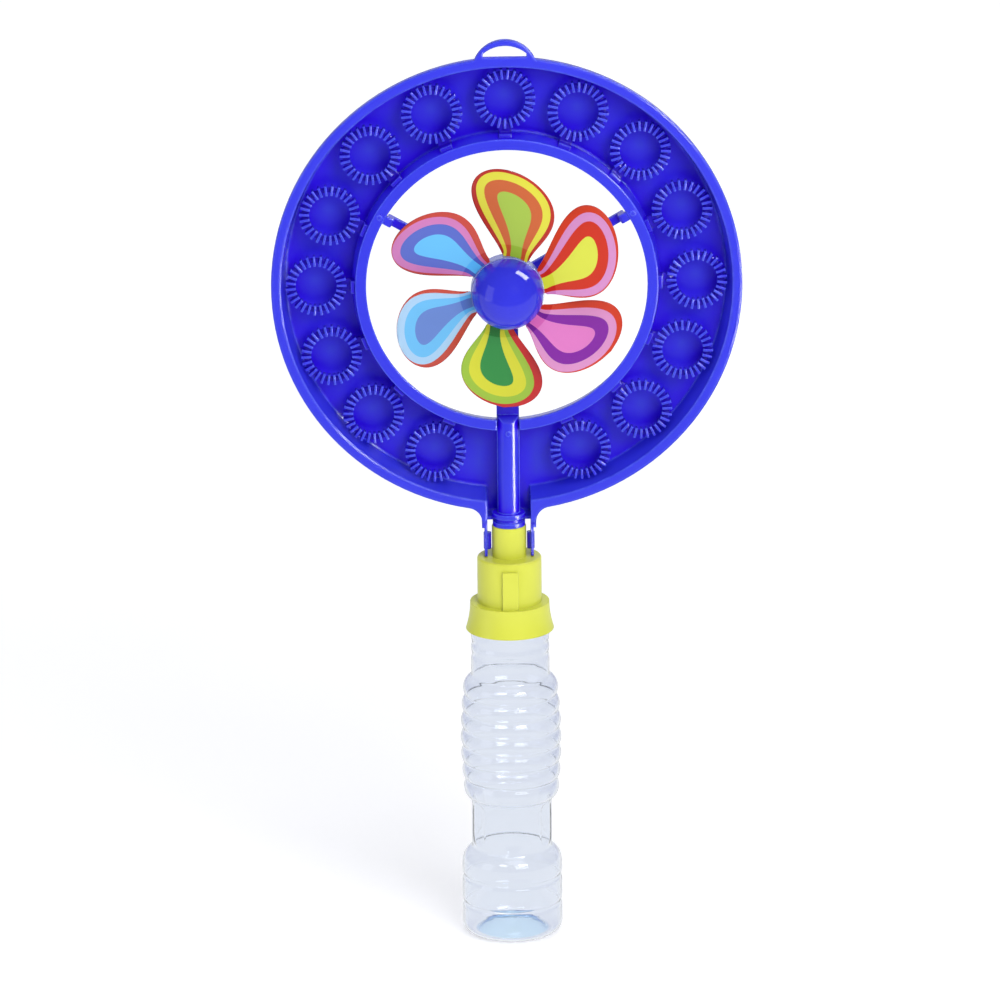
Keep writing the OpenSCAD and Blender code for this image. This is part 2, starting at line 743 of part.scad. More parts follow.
// Rows of a petal from its root to its tip, as [radius, half the width, share of the curl]
petal_rows = concat(
    [[tab_in_r, tab_half_w, 0], [drum_r - root_in, tab_half_w, 0]],
    [for (i = [0 : belly_rows - 1])
        let (u = drum_r + root_out + (petal_belly_r - drum_r - root_out) * i / belly_rows)
        [u, flank_w(u), i / belly_rows]],
    [for (i = [0 : tip_rows])
        let (a = tip_last * i / tip_rows)
        [petal_belly_r + (petal_tip_r - petal_belly_r) * sin(a), petal_half_w * cos(a), 1]]
);

// A point of the petal: row, place across it from -1 to 1, and depth behind its front face
function petal_point(row, across, depth) =
    let (middle = max(0, row[0] - drum_r) * tan(petal_lean), v = middle + across * row[1])
    [row[0], v, petal_front - v * tan(petal_pitch) - petal_curl * row[2] * across * across - depth];

// A sheet swept through the rows, closed round its edge
module petal(i) {
    rows = len(petal_rows);
    wide = petal_cols + 1;
    back = rows * wide;
    across = [for (j = [0 : petal_cols]) 2 * j / petal_cols - 1];
    front_points = [for (row = petal_rows) for (a = across) petal_point(row, a, 0)];
    back_points = [for (row = petal_rows) for (a = across) petal_point(row, a, petal_t)];
    cells = [for (r = [0 : rows - 2]) for (j = [0 : petal_cols - 1]) r * wide + j];
    front_faces = [for (c = cells) for (f = [[c, c + 1, c + wide], [c + 1, c + wide + 1, c + wide]]) f];
    back_faces = [for (f = front_faces) [f[2] + back, f[1] + back, f[0] + back]];
    edge = concat(
        [for (j = [0 : petal_cols - 1]) j],
        [for (r = [0 : rows - 2]) r * wide + petal_cols],
        [for (j = [petal_cols : -1 : 1]) (rows - 1) * wide + j],
        [for (r = [rows - 1 : -1 : 1]) r * wide]
    );
    edge_faces = [for (k = [0 : len(edge) - 1])
        let (a = edge[k], b = edge[(k + 1) % len(edge)])
        for (f = [[a, a + back, b], [b, a + back, b + back]]) f];
    color(petal_colours[(i - 1) % len(petal_colours)]) on_head()
        rotate(petal_start + (i - 1) * petal_step)
            polyhedron(concat(front_points, back_points), concat(front_faces, back_faces, edge_faces));
}

// Outline of the rim where it runs into the clip, on the side given by its sign
module mouth_outline(side) {
    reach = rim_r / (rim_r + mouth_fillet);
    mirror([side < 0 ? 1 : 0, 0]) difference() {
        polygon([[0, 0], [fillet_x * reach, -fillet_y * reach], [fillet_x, -fillet_y], [0, -fillet_y]]);
        translate([fillet_x, -fillet_y]) circle(mouth_fillet);
    }
}

// Solid of the space inside the trough's outer wall
module trough_space() {
    translate([0, 0, floor_front])
        cylinder(r1 = rim_in_r - slope * trough_d, r2 = rim_in_r, h = trough_d + eps, $fn = 180);
}

// Trough, turned about the ring's axis
module trough() {
    floor_out = rim_in_r - slope * trough_d;
    wall_drop = inner_wall_top - floor_front;
    section = [
        [rim_r, rim_front],
        [rim_r, rim_front - lip_d],
        [rim_r - tray_wall, rim_front - lip_d],
        [rim_r - tray_wall, rim_front - tray_wall],
        [rim_in_r + tray_wall, rim_front - tray_wall],
        [floor_out + tray_wall, floor_back],
        [inner_wall_r + slope * (wall_drop + tray_wall), floor_back],
        [inner_wall_r, inner_wall_top],
        [inner_wall_r + tray_wall, inner_wall_top],
        [inner_wall_r + tray_wall + slope * wall_drop, floor_front],
        [floor_out, floor_front],
        [rim_in_r, rim_front]
    ];
    rotate_extrude($fn = 180) polygon(section);
}

// Loop above the rim to hang the tray up by
module hang_loop() {
    translate([0, 0, rim_front - loop_t]) linear_extrude(loop_t) difference() {
        translate([0, loop_top - loop_out_r]) circle(loop_out_r);
        intersection() {
            translate([0, loop_hole_y + loop_hole_h - loop_hole_r]) circle(loop_hole_r);
            translate([-loop_hole_w, loop_hole_y]) square([2 * loop_hole_w, 2 * loop_hole_h]);
        }
        circle(rim_in_r + tray_wall / 2, $fn = 180);
    }
}

// Legs that grip the cap's socket, with a pad inside each
module clip_legs() {
    leg_z = (hoop_front + hoop_back) / 2;
    leg_top = groove_mid - dam_t;
    for (side = [-1, 1]) {
        translate([side > 0 ? channel_w : -channel_w - leg_t, -leg_end, leg_z - leg_d / 2])
            cube([leg_t, leg_end - leg_top, leg_d]);
        translate([side > 0 ? channel_w : -cheek_out, -dam_y - cheek_drop, leg_z - leg_d / 2])
            cube([cheek_t, dam_y + cheek_drop - leg_top, leg_d]);
        translate([side * channel_w, -ring_z + cap_top_z + (socket_h - pad_h) / 2, 0])
            rotate([-90, 0, 0]) cylinder(r = pad_r, h = pad_h);
    }
}

// Dipping tray: a round trough that the hoops lie in, clipped on behind the wand
module tray() {
    stem_room = stem_fin + 2 * part_gap;
    rim_sheet = rim_front - tray_wall;
    cheek_reach = dam_y - rim_in_r + hoop_room + slope * trough_d;
    color(toy_blue) on_head() difference() {
        union() {
            difference() {
                trough();
                translate([-channel_w, -rim_r - cut_over, floor_front])
                    cube([2 * channel_w, rim_w + hoop_r, 2 * trough_d]);
                translate([-stem_room, -hoop_at_r, -stem_fin - part_gap])
                    cube([2 * stem_room, hoop_at_r, trough_d]);
            }
            difference() {
                union() {
                    for (side = [-1, 1]) {
                        translate([0, 0, rim_sheet]) linear_extrude(tray_wall) mouth_outline(side);
                    }
                    translate([-cheek_out, -dam_y, floor_back])
                        cube([2 * cheek_out, cheek_reach, rim_front - floor_back]);
                }
                trough_space();
                translate([0, 0, floor_back - cut_over])
                    cylinder(r = rim_in_r - slope * trough_d - eps, h = 2 * trough_d);
                translate([-channel_w, -dam_y + dam_t, floor_front])
                    cube([2 * channel_w, rim_r, 2 * trough_d]);
                translate([-channel_w, -2 * rim_r, 0]) cube([2 * channel_w, 2 * rim_r, 2 * trough_d]);
                rotate([90, 0, 0]) cylinder(r = groove_core_r + part_gap, h = 2 * rim_r);
            }
            clip_legs();
            hang_loop();
        }
        rotate([90, 0, 0]) translate([0, 0, dam_y]) cylinder(r = socket_r + part_gap, h = rim_r);
    }
}

bottle();
bottle_neck();
cap_seal();
cap();
wand_stem();
tray();
ring_band();
upper_spoke(180 - spoke_angle);  // arm_left
upper_spoke(spoke_angle);  // arm_right
hub_boss();
axle();
axle_washer();
axle_clip();
hub_drum();
hub_dome();
hub_disc();
for (i = [1 : hoop_places - 1]) bubble_hoop(i);
for (i = [1 : petal_count]) petal(i);
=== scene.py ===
import json
import math

import bmesh
import bpy
import numpy as np
from mathutils import Matrix, Vector

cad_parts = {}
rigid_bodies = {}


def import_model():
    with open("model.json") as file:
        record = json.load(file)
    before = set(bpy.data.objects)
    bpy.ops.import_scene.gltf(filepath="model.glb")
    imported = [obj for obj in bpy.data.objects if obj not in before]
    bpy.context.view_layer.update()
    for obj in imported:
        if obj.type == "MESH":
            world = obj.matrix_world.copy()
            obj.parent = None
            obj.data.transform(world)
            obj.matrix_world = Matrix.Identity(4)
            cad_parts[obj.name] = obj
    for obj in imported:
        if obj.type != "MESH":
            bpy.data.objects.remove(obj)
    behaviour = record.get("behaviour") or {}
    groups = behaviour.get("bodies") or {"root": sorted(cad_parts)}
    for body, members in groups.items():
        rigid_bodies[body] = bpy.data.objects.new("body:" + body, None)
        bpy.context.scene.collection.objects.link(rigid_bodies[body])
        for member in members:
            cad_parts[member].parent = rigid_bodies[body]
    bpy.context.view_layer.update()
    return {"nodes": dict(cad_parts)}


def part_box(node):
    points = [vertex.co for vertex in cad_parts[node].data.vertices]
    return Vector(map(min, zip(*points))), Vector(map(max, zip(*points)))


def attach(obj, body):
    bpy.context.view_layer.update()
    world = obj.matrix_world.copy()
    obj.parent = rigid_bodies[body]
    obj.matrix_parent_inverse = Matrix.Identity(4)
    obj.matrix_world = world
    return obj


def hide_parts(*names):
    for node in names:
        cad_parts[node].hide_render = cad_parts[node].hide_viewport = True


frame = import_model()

MM = 0.001

# Places that the frame gives: the ring's middle, the ball and the bottle's height
dome_low, dome_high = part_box("hub_dome")
neck_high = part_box("bottle_neck")[1]
RING_Z = (dome_low.z + dome_high.z) / 2
BALL_R = (dome_high.x - dome_low.x) / 2
BALL_Y = dome_low.y + BALL_R
DOME_EDGE_Y = dome_high.y
BOTTLE_H = neck_high.z
DRUM_PROUD = 0.3 * MM
DRUM_R = BALL_R + DRUM_PROUD

# Mesh helpers

# Spacing of the points along an arc, and steps round a turned piece
ARC_STEP = 0.35 * MM
TURN_STEPS = 160
# How the CAD faces are welded and joined before their sharp edges are rounded
WELD_DISTANCE = 2e-6
FLAT_ANGLE = math.radians(0.4)
SHARP_ANGLE = math.radians(32)
EDGE_SEGMENTS = 2
# How far behind the fronts of a hoop's teeth a point is set back, and how far ahead its tab lies, for the
# painted shade on the set-back rim and the tab
TOOTH_H = 4 * MM
SET_BACK_START = 0.25 * MM
SET_BACK_FADE = 0.1 * MM
TAB_AHEAD = 0.5 * MM
TAB_SHADE_MARK = 0.5
# Radius beyond which the tray's outer wall lies, and how squarely a face of it has to look in, for the
# painted light on it
OUTER_WALL_R = 90 * MM
LOOKS_IN = -0.2


def new_piece(name, mesh, body, material, stands_for=()):
    """An object of the part, riding on its body."""
    piece = bpy.data.objects.new(name, mesh)
    bpy.context.scene.collection.objects.link(piece)
    mesh.materials.clear()
    mesh.materials.append(material)
    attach(piece, body)
    if stands_for:
        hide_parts(*stands_for)
    return piece


def mesh_from(name, points, faces, smooth=True):
    """A mesh from its points and faces."""
    mesh = bpy.data.meshes.new(name)
    mesh.from_pydata(points, [], faces)
    mesh.polygons.foreach_set("use_smooth", [smooth] * len(mesh.polygons))
    mesh.update()
    return mesh


def keep_values(mesh, name, values, domain="POINT"):
    """Keeps one number for each point or face of a mesh, for its material to read."""
    mesh.attributes.new(name, "FLOAT", domain).data.foreach_set("value", np.array(values, np.float32))


def arc(centre, radius, start, end, step=ARC_STEP):
    """Points of a turned profile along an arc, with angles in degrees."""
    count = max(2, math.ceil(abs(math.radians(end - start)) * radius / step))
    angles = [math.radians(start + (end - start) * i / count) for i in range(count + 1)]
    return [(centre[0] + radius * math.cos(a), centre[1] + radius * math.sin(a)) for a in angles]


def resampled(profile, step):
    """The same line with points at an even spacing."""
    points = np.array(profile)
    lengths = np.linalg.norm(np.diff(points, axis=0), axis=1)
    along = np.concatenate([[0], np.cumsum(lengths)])
    places = np.linspace(0, along[-1], max(2, int(along[-1] / step)) + 1)
    return np.stack([np.interp(places, along, points[:, k]) for k in (0, 1)], axis=1)


def softened(profile, passes):
    """The same line with its corners eased, and its ends kept."""
    points = np.array(profile)
    for _ in range(passes):
        points[1:-1] = 0.25 * points[:-2] + 0.5 * points[1:-1] + 0.25 * points[2:]
    return points


def inset(profile, wall):
    """The line moved to its left by the wall."""
    points = np.array(profile)
    along = np.gradient(points, axis=0)
    along /= np.linalg.norm(along, axis=1)[:, None]
    return points + wall * np.stack([-along[:, 1], along[:, 0]], axis=1)


def turned(name, profile, steps=TURN_STEPS, press=None):
    """A solid turned about Z from a closed profile that starts and ends on the axis."""
    inner = profile[1:-1]
    points = [(0.0, 0.0, profile[0][1])]
    for r, z in inner:
        for k in range(steps):
            a = 2 * math.pi * k / steps
            radius = r - (press(r, z, a) if press else 0.0)
            points.append((radius * math.cos(a), radius * math.sin(a), z))
    points.append((0.0, 0.0, profile[-1][1]))
    last = len(points) - 1
    top = 1 + (len(inner) - 1) * steps
    faces = []
    for k in range(steps):
        n = (k + 1) % steps
        faces.append((0, 1 + n, 1 + k))
        for i in range(len(inner) - 1):
            a, b = 1 + i * steps, 1 + (i + 1) * steps
            faces.append((a + k, a + n, b + n, b + k))
        faces.append((top + k, top + n, last))
    return mesh_from(name, points, faces)


def mark_set_back_shade(mesh):
    """Marks the points of a hoop that lie behind its teeth's fronts for painted shade, and half marks its
    tab.
    """
    depth = np.array([v.co.y for v in mesh.vertices])
    behind = depth - depth.max() + TOOTH_H
    marks = np.clip((behind - SET_BACK_START) / SET_BACK_FADE, 0, 1)
    marks[behind < -TAB_AHEAD] = TAB_SHADE_MARK
    keep_values(mesh, "set_back_shade", marks)


def mark_lit_wall(mesh):
    """Marks the faces of the tray's outer wall that look in over the trough, where the light falls, so that
    they are painted lit instead of in the painted hollow shade.
    """
    marks = []
    for face in mesh.polygons:
        out = Vector((face.center.x, 0, face.center.z - RING_Z))
        marks.append(out.length > OUTER_WALL_R and face.normal.dot(out.normalized()) < LOOKS_IN)
    keep_values(mesh, "lit_wall", marks, "FACE")


def moulded(name, node, body, material, edge, mark=None):
    """A CAD node's shape with its sharp edges rounded, as a mould leaves them."""
    mesh = frame["nodes"][node].data.copy()
    form = bmesh.new()
    form.from_mesh(mesh)
    bmesh.ops.remove_doubles(form, verts=form.verts, dist=WELD_DISTANCE)
    bmesh.ops.dissolve_limit(form, angle_limit=FLAT_ANGLE, verts=form.verts, edges=form.edges)
    for face in form.faces:
        face.smooth = True
    form.to_mesh(mesh)
    form.free()
    if mesh.has_custom_normals:
        mesh.attributes.remove(mesh.attributes["custom_normal"])
    if mark:
        mark(mesh)
    piece = new_piece(name, mesh, body, material, [node])
    bevel = piece.modifiers.new("rounded_edges", "BEVEL")
    bevel.width = edge
    bevel.segments = EDGE_SEGMENTS
    bevel.limit_method = "ANGLE"
    bevel.angle_limit = SHARP_ANGLE
    bevel.harden_normals = True


# Shader helpers

# Noise scales of a moulded surface, and the grain's share of its relief
SCUFF_SCALE = 900.0
GRAIN_SCALE = 2600.0
GRAIN_SHARE = 0.35
RELIEF_DEPTH = 0.4 * MM
# Paler edges, which stand for rubbing and for painted highlights: scale of the patches, and cosines of the
# turn where the paler tone starts and where it is full
EDGE_PATCH_SCALE = 260.0
WEAR_AND_HIGHLIGHT_STARTS = 0.995
WEAR_AND_HIGHLIGHT_FULL = 0.80
WEAR_AND_HIGHLIGHT_REACH = 0.6 * MM
# Painted shade in hollows: how open a place is where the painted shade is full and where it ends
HOLLOW_SHADE_FULL = 0.74
HOLLOW_SHADE_ENDS = 0.97
HOLLOW_SHADE_REACH = 12 * MM
# Shares of a colour, for the painted shade on what is set back and for the deep tone of clear plastic
SET_BACK_SHADE_SHARE = 0.6
CLEAR_DEEP_SHARE = 0.96
PLASTIC_IOR = 1.5
BOTTLE_IOR = 1.40


def node_group(name, inputs, outputs):
    """An empty shader group with named sockets: inputs as name, kind and value, outputs as name and kind."""
    group = bpy.data.node_groups.new(name, "ShaderNodeTree")
    for label, kind, value in inputs:
        socket = group.interface.new_socket(name=label, in_out="INPUT", socket_type=kind)
        if value is not None:
            socket.default_value = value
    for label, kind in outputs:
        group.interface.new_socket(name=label, in_out="OUTPUT", socket_type=kind)
    return group, group.nodes.new("NodeGroupInput"), group.nodes.new("NodeGroupOutput")


def add(tree, kind, **values):
    """A node, with its settings and the values of its named inputs."""
    made = tree.nodes.new(kind)
    for key, value in values.items():
        if hasattr(made, key) and key not in made.inputs:
            setattr(made, key, value)
        else:
            made.inputs[key.replace("_", " ")].default_value = value
    return made


def colour_mix(tree, **values):
    """A node that mixes two colours."""
    return add(tree, "ShaderNodeMix", data_type="RGBA", **values)


def placed(tree, group, **values):
    """A node that stands for a group, with the values of its named inputs."""
    made = tree.nodes.new("ShaderNodeGroup")
    made.node_tree = group
    for key, value in values.items():
        made.inputs[key.replace("_", " ")].default_value = value
    return made


def opaque(colour):
    """A colour with full alpha."""
    return (*colour, 1)


def srgb(red, green, blue):
    """A colour written as it shows on a screen, from 0 to 255."""
    shown = (red / 255, green / 255, blue / 255)
    return tuple(((v + 0.055) / 1.055) ** 2.4 if v > 10 / 255 else v / 12.92 for v in shown)


def stepped_ramp(tree, stops):
    """A ramp that keeps each colour up to the next one's place."""
    made = tree.nodes.new("ShaderNodeValToRGB")
    made.color_ramp.interpolation = "CONSTANT"
    elements = made.color_ramp.elements
    while len(elements) < len(stops):
        elements.new(0.5)
    for element, (place, colour) in zip(elements, stops):
        element.position = place
        element.color = opaque(colour)
    return made


def mould_surface_group():
    """Faint flow marks, scuffs and roughness of a moulded surface."""
    group, start, end = node_group(
        "mould_surface",
        [
            ("Colour", "NodeSocketColor", None),
            ("Deep Colour", "NodeSocketColor", None),
            ("Roughness", "NodeSocketFloat", 0.3),
            ("Flow Size", "NodeSocketFloat", 30.0),
        ],
        [("Colour", "NodeSocketColor"), ("Roughness", "NodeSocketFloat"), ("Height", "NodeSocketFloat")],
    )
    place = add(group, "ShaderNodeTexCoord")
    flow = add(group, "ShaderNodeTexNoise", Detail=3.0, Distortion=0.6)
    scuff = add(group, "ShaderNodeTexNoise", Scale=SCUFF_SCALE, Detail=4.0, Roughness=0.7)
    grain = add(group, "ShaderNodeTexNoise", Scale=GRAIN_SCALE, Detail=2.0)
    mix = colour_mix(group)
    spread = add(group, "ShaderNodeMapRange", From_Min=0.3, From_Max=0.75, To_Min=-0.04, To_Max=0.06)
    total = add(group, "ShaderNodeMath", operation="ADD")
    height = add(group, "ShaderNodeMath", operation="MULTIPLY_ADD")
    height.inputs[1].default_value = GRAIN_SHARE
    link = group.links.new
    for texture in (flow, scuff, grain):
        link(place.outputs["Object"], texture.inputs["Vector"])
    link(start.outputs["Flow Size"], flow.inputs["Scale"])
    link(flow.outputs["Fac"], mix.inputs["Factor"])
    link(start.outputs["Colour"], mix.inputs["A"])
    link(start.outputs["Deep Colour"], mix.inputs["B"])
    link(scuff.outputs["Fac"], spread.inputs["Value"])
    link(start.outputs["Roughness"], total.inputs[0])
    link(spread.outputs["Result"], total.inputs[1])
    link(grain.outputs["Fac"], height.inputs[0])
    link(flow.outputs["Fac"], height.inputs[2])
    link(mix.outputs["Result"], end.inputs["Colour"])
    link(total.outputs["Value"], end.inputs["Roughness"])
    link(height.outputs["Value"], end.inputs["Height"])
    return group


def edge_wear_and_highlight_group():
    """A paler tone along edges, for rubbing and for painted highlights, broken up by a fine noise, and the
    normal of the rounded edge.
    """
    group, start, end = node_group(
        "edge_wear_and_highlight",
        [
            ("Colour", "NodeSocketColor", None),
            ("Edge Colour", "NodeSocketColor", None),
            ("Amount", "NodeSocketFloat", 0.5),
            ("Radius", "NodeSocketFloat", WEAR_AND_HIGHLIGHT_REACH),
        ],
        [("Colour", "NodeSocketColor"), ("Normal", "NodeSocketVector")],
    )
    place = add(group, "ShaderNodeTexCoord")
    surface = add(group, "ShaderNodeNewGeometry")
    rounded = add(group, "ShaderNodeBevel", samples=4)
    turn = add(group, "ShaderNodeVectorMath", operation="DOT_PRODUCT")
    edge = add(group, "ShaderNodeMapRange", From_Min=WEAR_AND_HIGHLIGHT_STARTS, From_Max=WEAR_AND_HIGHLIGHT_FULL, To_Min=0.0, To_Max=1.0)
    patch = add(group, "ShaderNodeTexNoise", Scale=EDGE_PATCH_SCALE, Detail=3.0)
    share = add(group, "ShaderNodeMath", operation="MULTIPLY")
    amount = add(group, "ShaderNodeMath", operation="MULTIPLY", use_clamp=True)
    mix = colour_mix(group)
    link = group.links.new
    link(start.outputs["Radius"], rounded.inputs["Radius"])
    link(rounded.outputs["Normal"], turn.inputs[0])
    link(surface.outputs["Normal"], turn.inputs[1])
    link(turn.outputs["Value"], edge.inputs["Value"])
    link(place.outputs["Object"], patch.inputs["Vector"])
    link(edge.outputs["Result"], share.inputs[0])
    link(patch.outputs["Fac"], share.inputs[1])
    link(share.outputs["Value"], amount.inputs[0])
    link(start.outputs["Amount"], amount.inputs[1])
    link(amount.outputs["Value"], mix.inputs["Factor"])
    link(start.outputs["Colour"], mix.inputs["A"])
    link(start.outputs["Edge Colour"], mix.inputs["B"])
    link(mix.outputs["Result"], end.inputs["Colour"])
    link(rounded.outputs["Normal"], end.inputs["Normal"])
    return group


def hollow_shade_group():
    """Painted shade: a deeper tone where the shape closes in on itself, as in a trough, read from ambient
    occlusion.
    """
    group, start, end = node_group(
        "hollow_shade",
        [
            ("Colour", "NodeSocketColor", None),
            ("Hollow Colour", "NodeSocketColor", None),
            ("Distance", "NodeSocketFloat", HOLLOW_SHADE_REACH),
        ],
        [("Colour", "NodeSocketColor")],
    )
    room = add(group, "ShaderNodeAmbientOcclusion", samples=6)
    open_part = add(group, "ShaderNodeMapRange", From_Min=HOLLOW_SHADE_FULL, From_Max=HOLLOW_SHADE_ENDS)
    mix = colour_mix(group)
    link = group.links.new
    link(start.outputs["Distance"], room.inputs["Distance"])
    link(room.outputs["AO"], open_part.inputs["Value"])
    link(open_part.outputs["Result"], mix.inputs["Factor"])
    link(start.outputs["Hollow Colour"], mix.inputs["A"])
    link(start.outputs["Colour"], mix.inputs["B"])
    link(mix.outputs["Result"], end.inputs["Colour"])
    return group


MOULD_SURFACE = mould_surface_group()
EDGE_WEAR_AND_HIGHLIGHT = edge_wear_and_highlight_group()
HOLLOW_SHADE = hollow_shade_group()


# Materials


def new_material(name):
    """A material, with its node tree and its main shader."""
    material = bpy.data.materials.new(name)
    material.use_nodes = True
    return material, material.node_tree, material.node_tree.nodes["Principled BSDF"]


def with_relief(tree, surface, shader, bump):
    """Gives a shader the surface's roughness and its fine relief."""
    relief = add(tree, "ShaderNodeBump", Strength=bump, Distance=RELIEF_DEPTH)
    tree.links.new(surface.outputs["Roughness"], shader.inputs["Roughness"])
    tree.links.new(surface.outputs["Height"], relief.inputs["Height"])
    tree.links.new(relief.outputs["Normal"], shader.inputs["Normal"])
    return relief


def moulded_plastic(
    name, colour, deep, wear_and_highlight_colour, roughness, bump, wear_and_highlight=0.5, edge=WEAR_AND_HIGHLIGHT_REACH, hollow=None, shine=0.5
):
    """Injection-moulded plastic: flow marks, paler edges that stand for rubbing and for painted highlights,
    fine grain, painted shade in hollows and on set-back parts, and painted light on the tray's
    inward-looking outer wall.
    """
    material, tree, shader = new_material(name)
    # Without a colour of its own, the painted shade in hollows takes the flow-mark tone
    hollow = hollow or deep
    surface = placed(
        tree,
        MOULD_SURFACE,
        Colour=opaque(colour),
        Deep_Colour=opaque(deep),
        Roughness=roughness,
        Flow_Size=35.0,
    )
    # Painted shade: hollows take the deeper colour
    tone = placed(tree, HOLLOW_SHADE, Hollow_Colour=opaque(hollow))
    # Painted light: marked wall faces keep the lit colour without the hollow shade
    wall = add(tree, "ShaderNodeAttribute", attribute_name="lit_wall")
    lit = colour_mix(tree)
    edges = placed(tree, EDGE_WEAR_AND_HIGHLIGHT, Edge_Colour=opaque(wear_and_highlight_colour), Amount=wear_and_highlight, Radius=edge)
    # Painted shade on a hoop's set-back rim and its tab, darker than the hollow colour
    set_back_shade_mask = add(tree, "ShaderNodeAttribute", attribute_name="set_back_shade")
    shade = colour_mix(tree, B=opaque(tuple(SET_BACK_SHADE_SHARE * v for v in hollow)))
    relief = with_relief(tree, surface, shader, bump)
    link = tree.links.new
    link(surface.outputs["Colour"], tone.inputs["Colour"])
    link(wall.outputs["Fac"], lit.inputs["Factor"])
    link(tone.outputs["Colour"], lit.inputs["A"])
    link(surface.outputs["Colour"], lit.inputs["B"])
    link(lit.outputs["Result"], edges.inputs["Colour"])
    link(edges.outputs["Normal"], relief.inputs["Normal"])
    link(set_back_shade_mask.outputs["Fac"], shade.inputs["Factor"])
    link(edges.outputs["Colour"], shade.inputs["A"])
    link(shade.outputs["Result"], shader.inputs["Base Color"])
    shader.inputs["IOR"].default_value = PLASTIC_IOR
    shader.inputs["Specular IOR Level"].default_value = shine
    return material


def clear_plastic(name, colour, foot, roughness, bump):
    """Clear blown plastic with faint waves in its wall, bluer where the foot's wall is thick."""
    material, tree, shader = new_material(name)
    surface = placed(
        tree,
        MOULD_SURFACE,
        Colour=opaque(colour),
        Deep_Colour=opaque(tuple(CLEAR_DEEP_SHARE * v for v in colour)),
        Roughness=roughness,
        Flow_Size=60.0,
    )
    thick = add(tree, "ShaderNodeAttribute", attribute_name="foot_wall")
    tint = colour_mix(tree, B=opaque(foot))
    with_relief(tree, surface, shader, bump)
    link = tree.links.new
    link(thick.outputs["Fac"], tint.inputs["Factor"])
    link(surface.outputs["Colour"], tint.inputs["A"])
    link(tint.outputs["Result"], shader.inputs["Base Color"])
    shader.inputs["Transmission Weight"].default_value = 1.0
    shader.inputs["IOR"].default_value = BOTTLE_IOR
    return material


def drawn_wire(name):
    """Bright drawn steel with a fine mottle."""
    material, tree, shader = new_material(name)
    surface = placed(
        tree,
        MOULD_SURFACE,
        Colour=opaque((0.60, 0.61, 0.63)),
        Deep_Colour=opaque((0.45, 0.46, 0.48)),
        Roughness=0.25,
        Flow_Size=400.0,
    )
    tree.links.new(surface.outputs["Colour"], shader.inputs["Base Color"])
    tree.links.new(surface.outputs["Roughness"], shader.inputs["Roughness"])
    shader.inputs["Metallic"].default_value = 1.0
    return material


# Widths of the printed bands, and the depths that the print's ramp runs between, in millimetres
OUTER_BAND = 3.4
INNER_BAND = 4.5
PRINT_LOW = -2.0
PRINT_HIGH = 18.0
# Painted shade on the print where the hub's tabs back the film and let less light through: the radius out to
# which they reach and half the width of its edge, in millimetres, and how much darker the print turns
BACKED_R = 22.2
BACKED_FADE = 0.15
BACKED_SHADE_GAMMA = 1.35
# Share of the light that the film lets through
FILM_GLOW = 0.3


def printed_film(name, border, outer, inner, core):
    """Translucent film printed in nested bands, read from the depth inside the printed outline, with painted
    shade near the hub where its tabs lie behind the film.
    """
    material, tree, shader = new_material(name)
    span = PRINT_HIGH - PRINT_LOW
    depth = add(tree, "ShaderNodeAttribute", attribute_name="print_depth")
    scale = add(tree, "ShaderNodeMapRange", From_Min=PRINT_LOW, From_Max=PRINT_HIGH)
    bands = stepped_ramp(
        tree,
        [
            (0.0, border),
            (-PRINT_LOW / span, outer),
            ((OUTER_BAND - PRINT_LOW) / span, inner),
            ((OUTER_BAND + INNER_BAND - PRINT_LOW) / span, core),
        ],
    )
    # Painted shade: the print turns darker inside the radius of the hub's tabs
    distance = add(tree, "ShaderNodeAttribute", attribute_name="hub_distance")
    backed_shade = add(
        tree, "ShaderNodeMapRange", From_Min=BACKED_R + BACKED_FADE, From_Max=BACKED_R - BACKED_FADE
    )
    shaded_print = add(tree, "ShaderNodeGamma", Gamma=BACKED_SHADE_GAMMA)
    root = colour_mix(tree)
    surface = placed(
        tree,
        MOULD_SURFACE,
        Colour=(1.0, 1.0, 1.0, 1),
        Deep_Colour=(0.93, 0.93, 0.93, 1),
        Roughness=0.32,
        Flow_Size=45.0,
    )
    tone = colour_mix(tree, blend_type="MULTIPLY", Factor=1.0)
    glow = add(tree, "ShaderNodeBsdfTranslucent")
    mix = add(tree, "ShaderNodeMixShader", Fac=FILM_GLOW)
    with_relief(tree, surface, shader, 0.05)
    link = tree.links.new
    link(depth.outputs["Fac"], scale.inputs["Value"])
    link(scale.outputs["Result"], bands.inputs["Fac"])
    link(distance.outputs["Fac"], backed_shade.inputs["Value"])
    link(bands.outputs["Color"], shaded_print.inputs["Color"])
    link(backed_shade.outputs["Result"], root.inputs["Factor"])
    link(bands.outputs["Color"], root.inputs["A"])
    link(shaded_print.outputs["Color"], root.inputs["B"])
    link(root.outputs["Result"], tone.inputs["A"])
    link(surface.outputs["Colour"], tone.inputs["B"])
    link(tone.outputs["Result"], shader.inputs["Base Color"])
    link(tone.outputs["Result"], glow.inputs["Color"])
    link(shader.outputs["BSDF"], mix.inputs[1])
    link(glow.outputs["BSDF"], mix.inputs[2])
    link(mix.outputs["Shader"], tree.nodes["Material Output"].inputs["Surface"])
    return material


# Each plastic: its colour, its flow-mark tone, and a paler edge colour that stands for rubbing and for
# painted highlights
BLUE = srgb(52, 58, 216), srgb(48, 50, 208), srgb(104, 126, 255)
